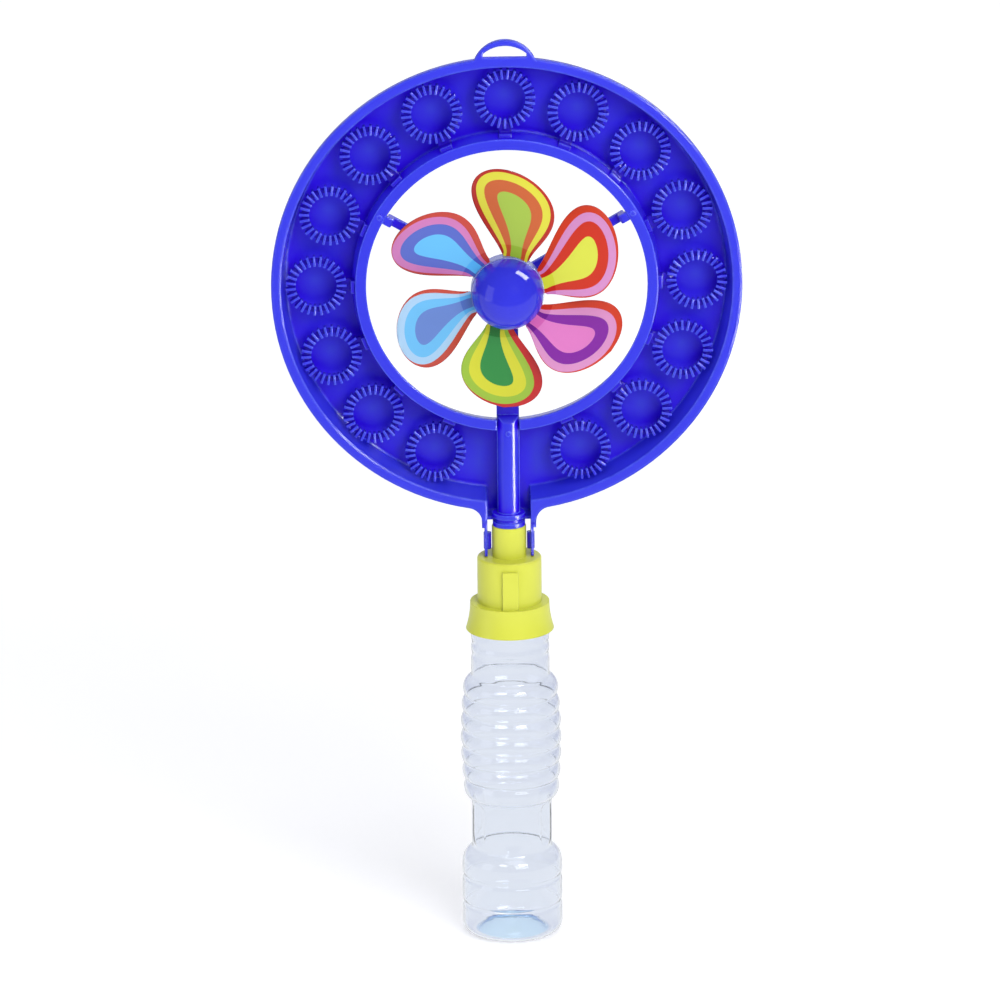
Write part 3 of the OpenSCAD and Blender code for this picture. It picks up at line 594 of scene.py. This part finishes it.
# Painted shade colour for the blue's hollows, and darker still for set-back hoop rims
BLUE_HOLLOW_SHADE = srgb(44, 8, 222)
BALL_BLUE = srgb(50, 53, 206), srgb(46, 47, 198), srgb(80, 94, 235)
YELLOW = srgb(218, 222, 78), srgb(208, 212, 66), srgb(236, 240, 140)
FOAM_WHITE = srgb(236, 236, 230), srgb(222, 222, 214), srgb(245, 245, 242)
WASHER_WHITE = srgb(232, 232, 228), srgb(220, 220, 216), srgb(244, 244, 242)
PALE_LAVENDER = srgb(158, 168, 238), srgb(146, 156, 230), srgb(206, 212, 250)
BOTTLE_TINT = (0.88, 0.91, 0.965)
FOOT_TINT = (0.68, 0.85, 0.98)
HUB_TRANSMISSION = 0.3
# A strong paler edge tone: painted highlights along edges and across the hoops' teeth
toy_blue = moulded_plastic(
    "toy_blue_plastic",
    *BLUE,
    roughness=0.20,
    bump=0.02,
    wear_and_highlight=1.5,
    edge=1.1 * MM,
    hollow=BLUE_HOLLOW_SHADE,
    shine=0.3,
)
# A wider edge radius: broader rounded shading and a wider painted highlight along the tray's edges
tray_blue = moulded_plastic(
    "tray_blue_plastic",
    *BLUE,
    roughness=0.20,
    bump=0.02,
    wear_and_highlight=0.9,
    edge=2.0 * MM,
    hollow=BLUE_HOLLOW_SHADE,
    shine=0.35,
)
ball_blue = moulded_plastic(
    "ball_blue_plastic", *BALL_BLUE, roughness=0.06, bump=0.01, wear_and_highlight=0.3, shine=0.4
)
cap_yellow = moulded_plastic("cap_yellow_plastic", *YELLOW, roughness=0.36, bump=0.06)
seal_white = moulded_plastic("seal_foam", *FOAM_WHITE, roughness=0.7, bump=0.3)
washer_white = moulded_plastic("washer_white", *WASHER_WHITE, roughness=0.4, bump=0.06)
bottle_clear = clear_plastic("bottle_clear_plastic", BOTTLE_TINT, FOOT_TINT, roughness=0.04, bump=0.03)
hub_pale = moulded_plastic("hub_pale_plastic", *PALE_LAVENDER, roughness=0.22, bump=0.02)
hub_shader = hub_pale.node_tree.nodes["Principled BSDF"]
hub_shader.inputs["Transmission Weight"].default_value = HUB_TRANSMISSION
axle_steel = drawn_wire("axle_steel_wire")


# Bottle: turned wall with ringed grip, fluted waist and hollow foot

LOWER_R = 23.3 * MM
LOWER_H = 42.5 * MM
HEEL_R = 5 * MM
LOWER_SHOULDER_R = 8 * MM
GROOVES = (14.7 * MM, 27.8 * MM)
GROOVE_D = 0.8 * MM
GROOVE_ROUND = 1.2 * MM
WAIST_R = 18.7 * MM
WAIST_H = 25 * MM
FLUTES = 6
FLUTE_D = 0.9 * MM
FLUTE_ROUND = 14 * MM
FLUTE_HALF_H = 6.0 * MM
RINGS = 7
RING_PITCH = 8.1 * MM
RING_END_R = 22.3 * MM
RING_SWELL = 1.3 * MM
RING_ROUND = 6.5 * MM
NECK_BAND_R = 18.3 * MM
NECK_BAND_H = 26 * MM
# Two shallow rings in the band below the cap, which the solids leave plain
NECK_GROOVES = (137.2 * MM, 142.8 * MM)
NECK_GROOVE_D = 0.5 * MM
NECK_ROUND = 3 * MM
FINISH_R = 12.6 * MM
FINISH_EDGE = 0.5 * MM
MOUTH_R = 10.9 * MM
WALL = 0.8 * MM
PUSHUP_H = 7 * MM
PUSHUP_R = 16 * MM
BEAD_R = 16.4 * MM
BEAD_T = 1.6 * MM
BEAD_BELOW_LIP = 22 * MM
# Angle at which the shoulder's arc ends, and how the finished side is spaced and eased
SHOULDER_END = 84
SIDE_STEP = 0.4 * MM
SIDE_PASSES = 6
# Width over which the thick foot's tint fades out
FOOT_FADE = 1.5 * MM
# Thread: its ridge comes up to full height over one part in THREAD_TAPER of its length
THREAD_PITCH = 3.2 * MM
THREAD_Z = BOTTLE_H - 12 * MM
THREAD_TURNS = 2.2
THREAD_W = 1.8 * MM
THREAD_H = 0.9 * MM
THREAD_SINK = 0.1 * MM
THREAD_STEPS = 72
THREAD_SIDES = 5
THREAD_TAPER = 8

GRIP_Z = LOWER_H + WAIST_H
NECK_BAND_Z = GRIP_Z + RINGS * RING_PITCH
FINISH_Z = NECK_BAND_Z + NECK_BAND_H
SHOULDER_R = NECK_BAND_R - FINISH_R


def groove(radius, z, depth, bend):
    """The arc of a groove pressed into a wall."""
    half = math.degrees(math.acos((bend - depth) / bend))
    return arc((radius - depth + bend, z), bend, 180 + half, 180 - half)


def bottle_side():
    """The bottle's outside from the middle of its foot to the top of its shoulder."""
    bowl = (PUSHUP_R**2 + PUSHUP_H**2) / (2 * PUSHUP_H)
    reach = math.degrees(math.asin(PUSHUP_R / bowl))
    line = arc((0, PUSHUP_H - bowl), bowl, 90, 90 - reach)
    line += arc((LOWER_R - HEEL_R, HEEL_R), HEEL_R, -90, 0)
    for z in GROOVES:
        line += groove(LOWER_R, z, GROOVE_D, GROOVE_ROUND)
    shoulder = (LOWER_R - LOWER_SHOULDER_R, LOWER_H - LOWER_SHOULDER_R)
    shoulder_end = math.degrees(math.acos((WAIST_R - shoulder[0]) / LOWER_SHOULDER_R))
    line += arc(shoulder, LOWER_SHOULDER_R, 0, shoulder_end)
    valley = math.degrees(math.asin(RING_PITCH / 2 / RING_ROUND))
    for i in range(RINGS):
        middle = RING_END_R + RING_SWELL * math.sin(math.pi * i / (RINGS - 1)) - RING_ROUND
        low = math.degrees(math.acos((WAIST_R - middle) / RING_ROUND)) if i == 0 else valley
        high = math.degrees(math.acos((NECK_BAND_R - middle) / RING_ROUND)) if i == RINGS - 1 else valley
        line += arc((middle, GRIP_Z + (i + 0.5) * RING_PITCH), RING_ROUND, -low, high)
    for z in NECK_GROOVES:
        line += groove(NECK_BAND_R, z, NECK_GROOVE_D, NECK_ROUND)
    line += arc((FINISH_R, FINISH_Z), SHOULDER_R, 0, SHOULDER_END)
    return softened(resampled(line, SIDE_STEP), SIDE_PASSES)


def finish_outside():
    """The threaded neck's outside with its bead, from the shoulder to the mouth's edge."""
    bead = BOTTLE_H - BEAD_BELOW_LIP
    edge = FINISH_EDGE
    line = [(FINISH_R, FINISH_Z + SHOULDER_R + edge), (FINISH_R, bead)]
    line += arc((BEAD_R - edge, bead + edge), edge, -90, 0)
    line += arc((BEAD_R - edge, bead + BEAD_T - edge), edge, 0, 90)
    line += [(FINISH_R, bead + BEAD_T), (FINISH_R, BOTTLE_H - edge)]
    line += arc((FINISH_R - edge, BOTTLE_H - edge), edge, 0, 90)
    return line


def waist_flutes(r, z, angle):
    """How far a finger flute presses the waist in."""
    if not WAIST_R - 2 * WALL < r < WAIST_R + 2 * WALL:
        return 0.0
    off_z = max(0.0, abs(z - LOWER_H - WAIST_H / 2) - FLUTE_HALF_H)
    off_side = WAIST_R * abs(angle % (2 * math.pi / FLUTES) - math.pi / FLUTES)
    return max(0.0, FLUTE_D - (off_z**2 + off_side**2) / (2 * FLUTE_ROUND))


def foot_tint_share(point):
    """How much of the foot's tint a point of the bottle takes."""
    if point.z >= PUSHUP_H + 2 * WALL:
        return 0.0
    return min(1.0, max(0.0, 1 - (math.hypot(point.x, point.y) - PUSHUP_R) / FOOT_FADE))


def thread_ridge(name):
    """A rounded ridge round the bottle's neck that runs out to nothing at both ends."""
    steps = int(THREAD_TURNS * THREAD_STEPS)
    points, faces = [], []
    for i in range(steps + 1):
        a = 2 * math.pi * THREAD_TURNS * i / steps
        height = THREAD_H * min(1.0, THREAD_TAPER * min(i, steps - i) / steps)
        for k in range(THREAD_SIDES):
            b = math.pi * k / (THREAD_SIDES - 1)
            r = FINISH_R + height * math.sin(b) - THREAD_SINK
            z = THREAD_Z + THREAD_PITCH * a / (2 * math.pi) + THREAD_W / 2 * math.cos(b)
            points.append((r * math.cos(a), r * math.sin(a), z))
    for i in range(steps):
        a, b = THREAD_SIDES * i, THREAD_SIDES * (i + 1)
        for k in range(THREAD_SIDES):
            n = (k + 1) % THREAD_SIDES
            faces.append((a + k, b + k, b + n, a + n))
    faces.append(tuple(range(THREAD_SIDES - 1, -1, -1)))
    faces.append(tuple(range(THREAD_SIDES * steps, THREAD_SIDES * (steps + 1))))
    return mesh_from(name, points, faces)


side = bottle_side()
inside = inset(side, WALL)
inside[0] = (0.0, PUSHUP_H + WALL)
inside = np.array([p for p in inside if p[0] >= 0])
mouth = [(MOUTH_R, BOTTLE_H), (MOUTH_R, FINISH_Z + SHOULDER_R)]
bottle_profile = [*map(tuple, side), *finish_outside(), *mouth, *map(tuple, inside[::-1])]
bottle_shell = new_piece(
    "bottle_shell",
    turned("bottle_shell", bottle_profile, press=waist_flutes),
    "bottle",
    bottle_clear,
    ["bottle", "bottle_neck"],
)
keep_values(bottle_shell.data, "foot_wall", [foot_tint_share(v.co) for v in bottle_shell.data.vertices])
new_piece("bottle_thread", thread_ridge("bottle_thread"), "bottle", bottle_clear)

# Ball that covers the hub

DOME_WALL = 1.4 * MM
DOME_EDGE = 0.35 * MM
DOME_STEPS = 128
DOME_STEP_OUT = 0.5 * MM
DOME_STEP_EDGE = 0.1 * MM
DOME_STEP_IN = 0.7 * MM
# Angle of the profile's first point off the axis
NEAR_POLE = 89


def ball_dome():
    """The hollow ball, open at its back, with a rounded edge there."""
    depth = BALL_Y - DOME_EDGE_Y
    inner_r = BALL_R - DOME_WALL
    line = [(0.0, BALL_R)]
    line += arc((0, 0), BALL_R, NEAR_POLE, 0, DOME_STEP_OUT)
    line += arc((BALL_R - DOME_EDGE, depth + DOME_EDGE), DOME_EDGE, 0, -90, DOME_STEP_EDGE)
    line.append((inner_r, depth))
    line += arc((0, 0), inner_r, 0, NEAR_POLE, DOME_STEP_IN)
    line.append((0.0, inner_r))
    mesh = turned("ball_dome", line, DOME_STEPS)
    mesh.flip_normals()
    mesh.transform(Matrix.Translation((0, BALL_Y, RING_Z)) @ Matrix.Rotation(math.radians(90), 4, "X"))
    return mesh


new_piece("ball_dome", ball_dome(), "pinwheel", ball_blue, ["hub_dome"])

# Petals: curved film with the print's depth kept on each point

PETALS = 6
PETAL_START = 17
PETAL_TIP_R = 55.6 * MM
PETAL_BELLY_R = 41 * MM
PETAL_HALF_W = 19.4 * MM
PETAL_ROOT_W = 6.4 * MM
PETAL_LEAN = math.tan(math.radians(15))
PETAL_PITCH = math.tan(math.radians(16))
PETAL_CURL = 1.2 * MM
PETAL_T = 0.45 * MM
PETAL_Y = BALL_Y + 3.4 * MM
TAB_IN_R = DRUM_R - 4.7 * MM
TAB_HALF_W = PETAL_ROOT_W - 0.9 * MM
FLANK_POWER = 1.3
# Rows and columns of the mesh, and the places of the rows on each side of the drum's edge
PETAL_ROWS = 70
PETAL_COLS = 40
ROOT_ROWS = 4
ROOT_END_R = DRUM_R - 0.6 * MM
FLANK_START_R = DRUM_R + 0.4 * MM
TIP_TURN = math.radians(89.4)
# Print: how far inside the cut it starts, its outline's points, and how far straight in its root goes on
PRINT_INSET = 1.9 * MM
OUTLINE_STATIONS = 300
OUTLINE_STEP = 0.25 * MM
ROOT_REACH = 14 * MM
LEAST_AWAY = 0.3 * MM
NARROWING = 0.8
# Soft distance: the power that weighs the outline, and what a straight outline adds up to
SOFT_POWER = 6.0
SOFT_SHARE = math.sqrt(math.pi) * math.gamma((SOFT_POWER - 1) / 2) / math.gamma(SOFT_POWER / 2)


def petal_half_width(u):
    """Half the petal's width at a distance out from the hub's middle."""
    if u < DRUM_R:
        return TAB_HALF_W
    if u < PETAL_BELLY_R:
        part = (u - DRUM_R) / (PETAL_BELLY_R - DRUM_R)
        return PETAL_ROOT_W + (PETAL_HALF_W - PETAL_ROOT_W) * math.sin(math.pi / 2 * part) ** FLANK_POWER
    part = (u - PETAL_BELLY_R) / (PETAL_TIP_R - PETAL_BELLY_R)
    return PETAL_HALF_W * math.sqrt(max(0.0, 1 - part * part))


def petal_middle(u):
    """How far aside the petal's leaning middle line lies."""
    return max(0.0, u - DRUM_R) * PETAL_LEAN


def petal_stations():
    """Radii of the rows, closer together towards the round tip."""
    root = np.linspace(TAB_IN_R, ROOT_END_R, ROOT_ROWS)
    flank = np.linspace(FLANK_START_R, PETAL_BELLY_R, PETAL_ROWS // 2, endpoint=False)
    turn = np.linspace(0, TIP_TURN, PETAL_ROWS // 2)
    tip = PETAL_BELLY_R + (PETAL_TIP_R - PETAL_BELLY_R) * np.sin(turn)
    return [*root, *flank, *tip]


def print_depth(flat, shift):
    """How deep each point lies inside the printed outline, in millimetres at the petal's widest place.

    The depth is a soft one that weighs the whole outline, so that the bands turn in rounds.
    """
    stations = np.linspace(DRUM_R, PETAL_TIP_R, OUTLINE_STATIONS)
    half = np.array([petal_half_width(u) for u in stations])
    middle = np.array([petal_middle(u) for u in stations])
    root = np.array([(DRUM_R - ROOT_REACH, PETAL_ROOT_W)])
    outline = np.concatenate(
        [
            root * (1, -1),
            np.stack([stations, middle - half], 1),
            np.stack([stations, middle + half], 1)[::-1],
            root,
        ]
    )
    outline = resampled(outline, OUTLINE_STEP)
    moved = flat - np.array(shift) * MM
    depth = np.empty(len(flat))
    for i, p in enumerate(moved):
        away = np.maximum(np.linalg.norm(outline - p, axis=1), LEAST_AWAY)
        gap = (OUTLINE_STEP / SOFT_SHARE * (away**-SOFT_POWER).sum()) ** (-1 / (SOFT_POWER - 1))
        u = min(max(p[0], DRUM_R), PETAL_TIP_R)
        within = abs(p[1] - petal_middle(u)) <= petal_half_width(u) and p[0] <= PETAL_TIP_R
        local = petal_half_width(min(u, PETAL_BELLY_R)) / PETAL_HALF_W
        depth[i] = (gap if within else -gap) / local**NARROWING
    return (depth - PRINT_INSET) / MM


def petal_mesh(name, angle, shift):
    """One petal. shift is how far the print lies off the cut, in millimetres along and across the petal."""
    stations = petal_stations()
    front = []
    for u in stations:
        half, middle = petal_half_width(u), petal_middle(u)
        curl = PETAL_CURL * min(1.0, max(0.0, (u - DRUM_R) / (PETAL_BELLY_R - DRUM_R)))
        for j in range(PETAL_COLS + 1):
            across = 2 * j / PETAL_COLS - 1
            v = middle + across * half
            front.append((u, v, -v * PETAL_PITCH - curl * across * across))
    wide = PETAL_COLS + 1
    count = len(front)
    last_row = len(stations) - 1
    points = front + [(u, v, f - PETAL_T) for u, v, f in front]
    faces = []
    for r in range(last_row):
        for j in range(PETAL_COLS):
            a = r * wide + j
            faces.append((a, a + wide, a + wide + 1, a + 1))
            faces.append((count + a, count + a + 1, count + a + wide + 1, count + a + wide))
    rim = list(range(PETAL_COLS))
    rim += [r * wide + PETAL_COLS for r in range(last_row)]
    rim += [last_row * wide + j for j in range(PETAL_COLS, 0, -1)]
    rim += [r * wide for r in range(last_row, 0, -1)]
    for k, a in enumerate(rim):
        b = rim[(k + 1) % len(rim)]
        faces.append((a, b, count + b, count + a))
    mesh = mesh_from(name, points, faces)
    flat = np.array(front)[:, :2]
    keep_values(mesh, "print_depth", np.tile(print_depth(flat, shift), 2))
    keep_values(mesh, "hub_distance", np.tile(np.hypot(*flat.T) / MM, 2))
    on_hub = Matrix.Translation((0, PETAL_Y, RING_Z)) @ Matrix.Rotation(math.radians(90), 4, "X")
    mesh.transform(on_hub @ Matrix.Rotation(math.radians(angle), 4, "Z"))
    return mesh


# Each petal's border, outer band, inner band and core, and the print's shift along and across
RED_ORANGE = srgb(222, 72, 44)
petal_prints = [
    ("petal_1", RED_ORANGE, srgb(228, 160, 212), srgb(222, 66, 46), srgb(234, 238, 92), (0.5, -1.3)),
    ("petal_2", srgb(206, 60, 48), srgb(240, 236, 80), srgb(224, 118, 66), srgb(188, 216, 88), (0.9, 0.0)),
    (
        "petal_3",
        srgb(218, 84, 70),
        srgb(226, 140, 202),
        srgb(102, 122, 216),
        srgb(116, 212, 255),
        (0.9, 1.4),
    ),
    (
        "petal_4",
        srgb(216, 84, 66),
        srgb(186, 222, 246),
        srgb(118, 204, 246),
        srgb(112, 146, 216),
        (1.8, -0.4),
    ),
    ("petal_5", srgb(212, 46, 44), srgb(170, 206, 66), srgb(226, 226, 56), srgb(56, 156, 74), (0.4, -1.9)),
    ("petal_6", RED_ORANGE, srgb(230, 160, 208), srgb(146, 50, 172), srgb(234, 138, 206), (0.4, -1.6)),
]
for index, (node, border, outer, inner, core, shift) in enumerate(petal_prints):
    film = printed_film(node + "_printed_film", border, outer, inner, core)
    angle = PETAL_START + 360 / PETALS * index
    new_piece(node + "_film", petal_mesh(node + "_film", angle, shift), "pinwheel", film, [node])

# Mouldings that keep their CAD shape, with rounded edges

HOOPS = 15
TRAY_EDGE = 0.6 * MM
CAP_EDGE = 0.5 * MM
WAND_EDGE = 0.35 * MM
PIN_EDGE = 0.2 * MM
TOOTH_EDGE = 0.16 * MM
SMALL_EDGE = 0.15 * MM
moulded("tray_moulding", "tray", "tray", tray_blue, TRAY_EDGE, mark_lit_wall)
for node in ("ring_band", "arm_left", "arm_right", "wand_stem", "hub_boss"):
    moulded(node + "_moulding", node, "wand", toy_blue, WAND_EDGE)
for index in range(1, HOOPS + 1):
    node = f"hoop_{index}"
    moulded(node + "_moulding", node, "wand", toy_blue, TOOTH_EDGE, mark_set_back_shade)
moulded("cap_moulding", "cap", "wand", cap_yellow, CAP_EDGE)
moulded("hub_drum_moulding", "hub_drum", "pinwheel", hub_pale, SMALL_EDGE)
moulded("hub_disc_moulding", "hub_disc", "pinwheel", hub_pale, SMALL_EDGE)
moulded("axle_pin", "axle", "wand", axle_steel, PIN_EDGE)
moulded("axle_clip_ring", "axle_clip", "wand", axle_steel, SMALL_EDGE)
moulded("axle_washer_ring", "axle_washer", "wand", washer_white, SMALL_EDGE)
moulded("cap_seal_disc", "cap_seal", "seal", seal_white, PIN_EDGE)

# Floor and backdrop

FLOOR_HALF = 7.0
WALL_Y = 7.0
WALL_H = 14.0
STAGE_PAINT = (0.6, 0.6, 0.6, 1)
# The stage's glow, and how much less of it the camera sees at the part than farther back
STAGE_GLOW = 0.78
PART_DROP = 0.20
PART_Y = -0.05
FAR_Y = 1.0
# What clear plastic sees: white in the middle, and a tint at the sides
MIDDLE_HALF = 0.2
SIDES_HALF = 0.5
SIDES_TINT = (0.34, 0.36, 0.62, 1)
MIDDLE_WHITE = (1, 1, 1, 1)
# What reflections see: dark floor far in front, and pale floor and wall from there back
DARK_Y = -0.8
PALE_Y = -0.6
DARK_FLOOR = (0.14, 0.16, 0.42, 1)
PALE_STAGE = (0.85, 0.88, 0.92, 1)


def white_stage_material():
    """White that glows, less so at the part, so that the camera sees a soft shadow there.

    Reflections and clear plastic see it in tones of their own.
    """
    material, tree, shader = new_material("white_stage")
    tree.nodes.remove(shader)
    paint = add(tree, "ShaderNodeBsdfDiffuse", Color=STAGE_PAINT)
    light = add(tree, "ShaderNodeEmission")
    level = add(
        tree,
        "ShaderNodeMapRange",
        From_Min=PART_Y,
        From_Max=FAR_Y,
        To_Min=STAGE_GLOW - PART_DROP,
        To_Max=STAGE_GLOW,
    )
    shown = add(tree, "ShaderNodeMix", A=STAGE_GLOW)
    lit = add(tree, "ShaderNodeAddShader")
    place = add(tree, "ShaderNodeTexCoord")
    parts = add(tree, "ShaderNodeSeparateXYZ")
    aside = add(tree, "ShaderNodeMath", operation="ABSOLUTE")
    middle = add(tree, "ShaderNodeMapRange", From_Min=SIDES_HALF, From_Max=MIDDLE_HALF)
    near = add(tree, "ShaderNodeMapRange", From_Min=DARK_Y, From_Max=PALE_Y)
    through = colour_mix(tree, A=SIDES_TINT, B=MIDDLE_WHITE)
    gloss = colour_mix(tree, A=DARK_FLOOR, B=PALE_STAGE)
    path = add(tree, "ShaderNodeLightPath")
    seen = colour_mix(tree)
    mirrored = add(tree, "ShaderNodeEmission")
    bent = add(tree, "ShaderNodeMath", operation="MAXIMUM")
    mix = add(tree, "ShaderNodeMixShader")
    link = tree.links.new
    link(paint.outputs["BSDF"], lit.inputs[0])
    link(light.outputs["Emission"], lit.inputs[1])
    link(place.outputs["Object"], parts.inputs["Vector"])
    link(parts.outputs["X"], aside.inputs[0])
    link(aside.outputs["Value"], middle.inputs["Value"])
    link(parts.outputs["Y"], near.inputs["Value"])
    link(parts.outputs["Y"], level.inputs["Value"])
    link(path.outputs["Is Camera Ray"], shown.inputs["Factor"])
    link(level.outputs["Result"], shown.inputs["B"])
    link(shown.outputs["Result"], light.inputs["Strength"])
    link(middle.outputs["Result"], through.inputs["Factor"])
    link(near.outputs["Result"], gloss.inputs["Factor"])
    link(path.outputs["Is Transmission Ray"], seen.inputs["Factor"])
    link(gloss.outputs["Result"], seen.inputs["A"])
    link(through.outputs["Result"], seen.inputs["B"])
    link(seen.outputs["Result"], mirrored.inputs["Color"])
    link(path.outputs["Is Glossy Ray"], bent.inputs[0])
    link(path.outputs["Is Transmission Ray"], bent.inputs[1])
    link(bent.outputs["Value"], mix.inputs["Fac"])
    link(lit.outputs["Shader"], mix.inputs[1])
    link(mirrored.outputs["Emission"], mix.inputs[2])
    link(mix.outputs["Shader"], tree.nodes["Material Output"].inputs["Surface"])
    return material


def stage_sheet(name, corners, material):
    """A flat sheet of the stage."""
    sheet = bpy.data.objects.new(name, mesh_from(name, corners, [(0, 1, 2, 3)], smooth=False))
    bpy.context.scene.collection.objects.link(sheet)
    sheet.data.materials.append(material)


white_stage = white_stage_material()
stage_sheet(
    "floor",
    [
        (-FLOOR_HALF, -FLOOR_HALF, 0),
        (FLOOR_HALF, -FLOOR_HALF, 0),
        (FLOOR_HALF, WALL_Y, 0),
        (-FLOOR_HALF, WALL_Y, 0),
    ],
    white_stage,
)
stage_sheet(
    "back_wall",
    [
        (-FLOOR_HALF, WALL_Y, 0),
        (FLOOR_HALF, WALL_Y, 0),
        (FLOOR_HALF, WALL_Y, WALL_H),
        (-FLOOR_HALF, WALL_Y, WALL_H),
    ],
    white_stage,
)

# Light: three lamps for the whole part, and six whose light reaches only some of its pieces

MIDDLE = Vector((0, 0, RING_Z))
KEY_SIDE = (0.36, -0.81, 0.46)
KEY_DISTANCE = 1.6
KEY_SIZE = (0.9, 0.9)
UPPER_STRIP_LINE = (0.635, -0.145, -0.49)
SKY = (0.11, 0.12, 0.17, 1)
SKY_THROUGH_CLEAR = (0.36, 0.40, 0.70, 1)


def soft_lamp(name, toward, distance, size, power, along=(0, 0, 1), only=None):
    """A flat lamp that faces the ring's middle from a direction, with its second size along a line.

    Where a collection is given as only, the lamp lights just the pieces in it.
    """
    lamp = bpy.data.lights.new(name, "AREA")
    lamp.shape = "RECTANGLE"
    lamp.size, lamp.size_y = size
    lamp.energy = power
    holder = bpy.data.objects.new(name, lamp)
    bpy.context.scene.collection.objects.link(holder)
    direction = Vector(toward).normalized()
    across = Vector(along).cross(direction).normalized()
    turn = Matrix((across, direction.cross(across), direction)).transposed().to_4x4()
    holder.matrix_world = Matrix.Translation(MIDDLE + direction * distance) @ turn
    if only is not None:
        holder.light_linking.receiver_collection = only
    return holder


head_pieces = bpy.data.collections.new("head_pieces")
blue_mouldings = bpy.data.collections.new("blue_mouldings")
bottle_only = bpy.data.collections.new("bottle_only")
bottle_only.objects.link(bottle_shell)
for piece in bpy.context.scene.collection.objects:
    if piece.name.endswith(("_moulding", "_film")) or piece.name == "ball_dome":
        head_pieces.objects.link(piece)
    if piece.active_material in (toy_blue, tray_blue, hub_pale):
        blue_mouldings.objects.link(piece)

for lamp in (
    soft_lamp("key_softbox", KEY_SIDE, KEY_DISTANCE, KEY_SIZE, power=17),
    soft_lamp("overhead_softbox", (0.10, -0.40, 0.91), distance=1.3, size=(0.8, 0.8), power=6),
):
    lamp.visible_glossy = False
soft_lamp("left_card", (-0.9, -0.45, 0.1), distance=1.4, size=(0.7, 1.2), power=3)
for lamp in (
    soft_lamp("sheen_softbox", KEY_SIDE, KEY_DISTANCE, KEY_SIZE, power=34, only=blue_mouldings),
    soft_lamp(
        "upper_strip",
        (0.62, 0.14, 0.77),
        distance=1.1,
        size=(0.50, 0.62),
        power=17,
        along=UPPER_STRIP_LINE,
        only=head_pieces,
    ),
    soft_lamp(
        "right_strip",
        (0.844, -0.455, -0.286),
        distance=0.616,
        size=(0.20, 0.24),
        power=8,
        only=blue_mouldings,
    ),
    soft_lamp(
        "rim_glint", (0.66, -0.65, 0.37), distance=1.4, size=(0.3, 0.3), power=40, only=blue_mouldings
    ),
):
    lamp.visible_diffuse = False
soft_lamp("right_glint", (0.40, -0.72, 0.57), distance=1.2, size=(0.40, 0.35), power=5, only=bottle_only)
soft_lamp("left_glint", (-0.36, -0.74, 0.57), distance=1.2, size=(0.36, 0.35), power=2.5, only=bottle_only)

world = bpy.data.worlds.new("studio")
bpy.context.scene.world = world
world.use_nodes = True
sky = world.node_tree.nodes["Background"]
rays = add(world.node_tree, "ShaderNodeLightPath")
tint = colour_mix(world.node_tree, A=SKY, B=SKY_THROUGH_CLEAR)
world.node_tree.links.new(rays.outputs["Is Transmission Ray"], tint.inputs["Factor"])
world.node_tree.links.new(tint.outputs["Result"], sky.inputs["Color"])

# Camera at the photograph's angle

AZIMUTH = math.radians(-1.46)
ELEVATION = math.radians(17.445)
DISTANCE = 5.0
AIM = Vector((-0.00406, 0, 0.21143))
ROLL = math.radians(-0.583)
LENS = 387.1
SENSOR_W = 36
CLIP_END = 50

camera = bpy.data.cameras.new("camera")
camera.sensor_width = SENSOR_W
camera.lens = LENS
camera.clip_end = CLIP_END
camera_holder = bpy.data.objects.new("camera", camera)
bpy.context.scene.collection.objects.link(camera_holder)
back = Vector(
    (
        math.sin(AZIMUTH) * math.cos(ELEVATION),
        -math.cos(AZIMUTH) * math.cos(ELEVATION),
        math.sin(ELEVATION),
    )
)
turn = (-back).to_track_quat("-Z", "Y").to_matrix().to_4x4() @ Matrix.Rotation(ROLL, 4, "Z")
camera_holder.matrix_world = Matrix.Translation(AIM + back * DISTANCE) @ turn
bpy.context.scene.camera = camera_holder
bpy.context.scene.view_settings.view_transform = "Standard"
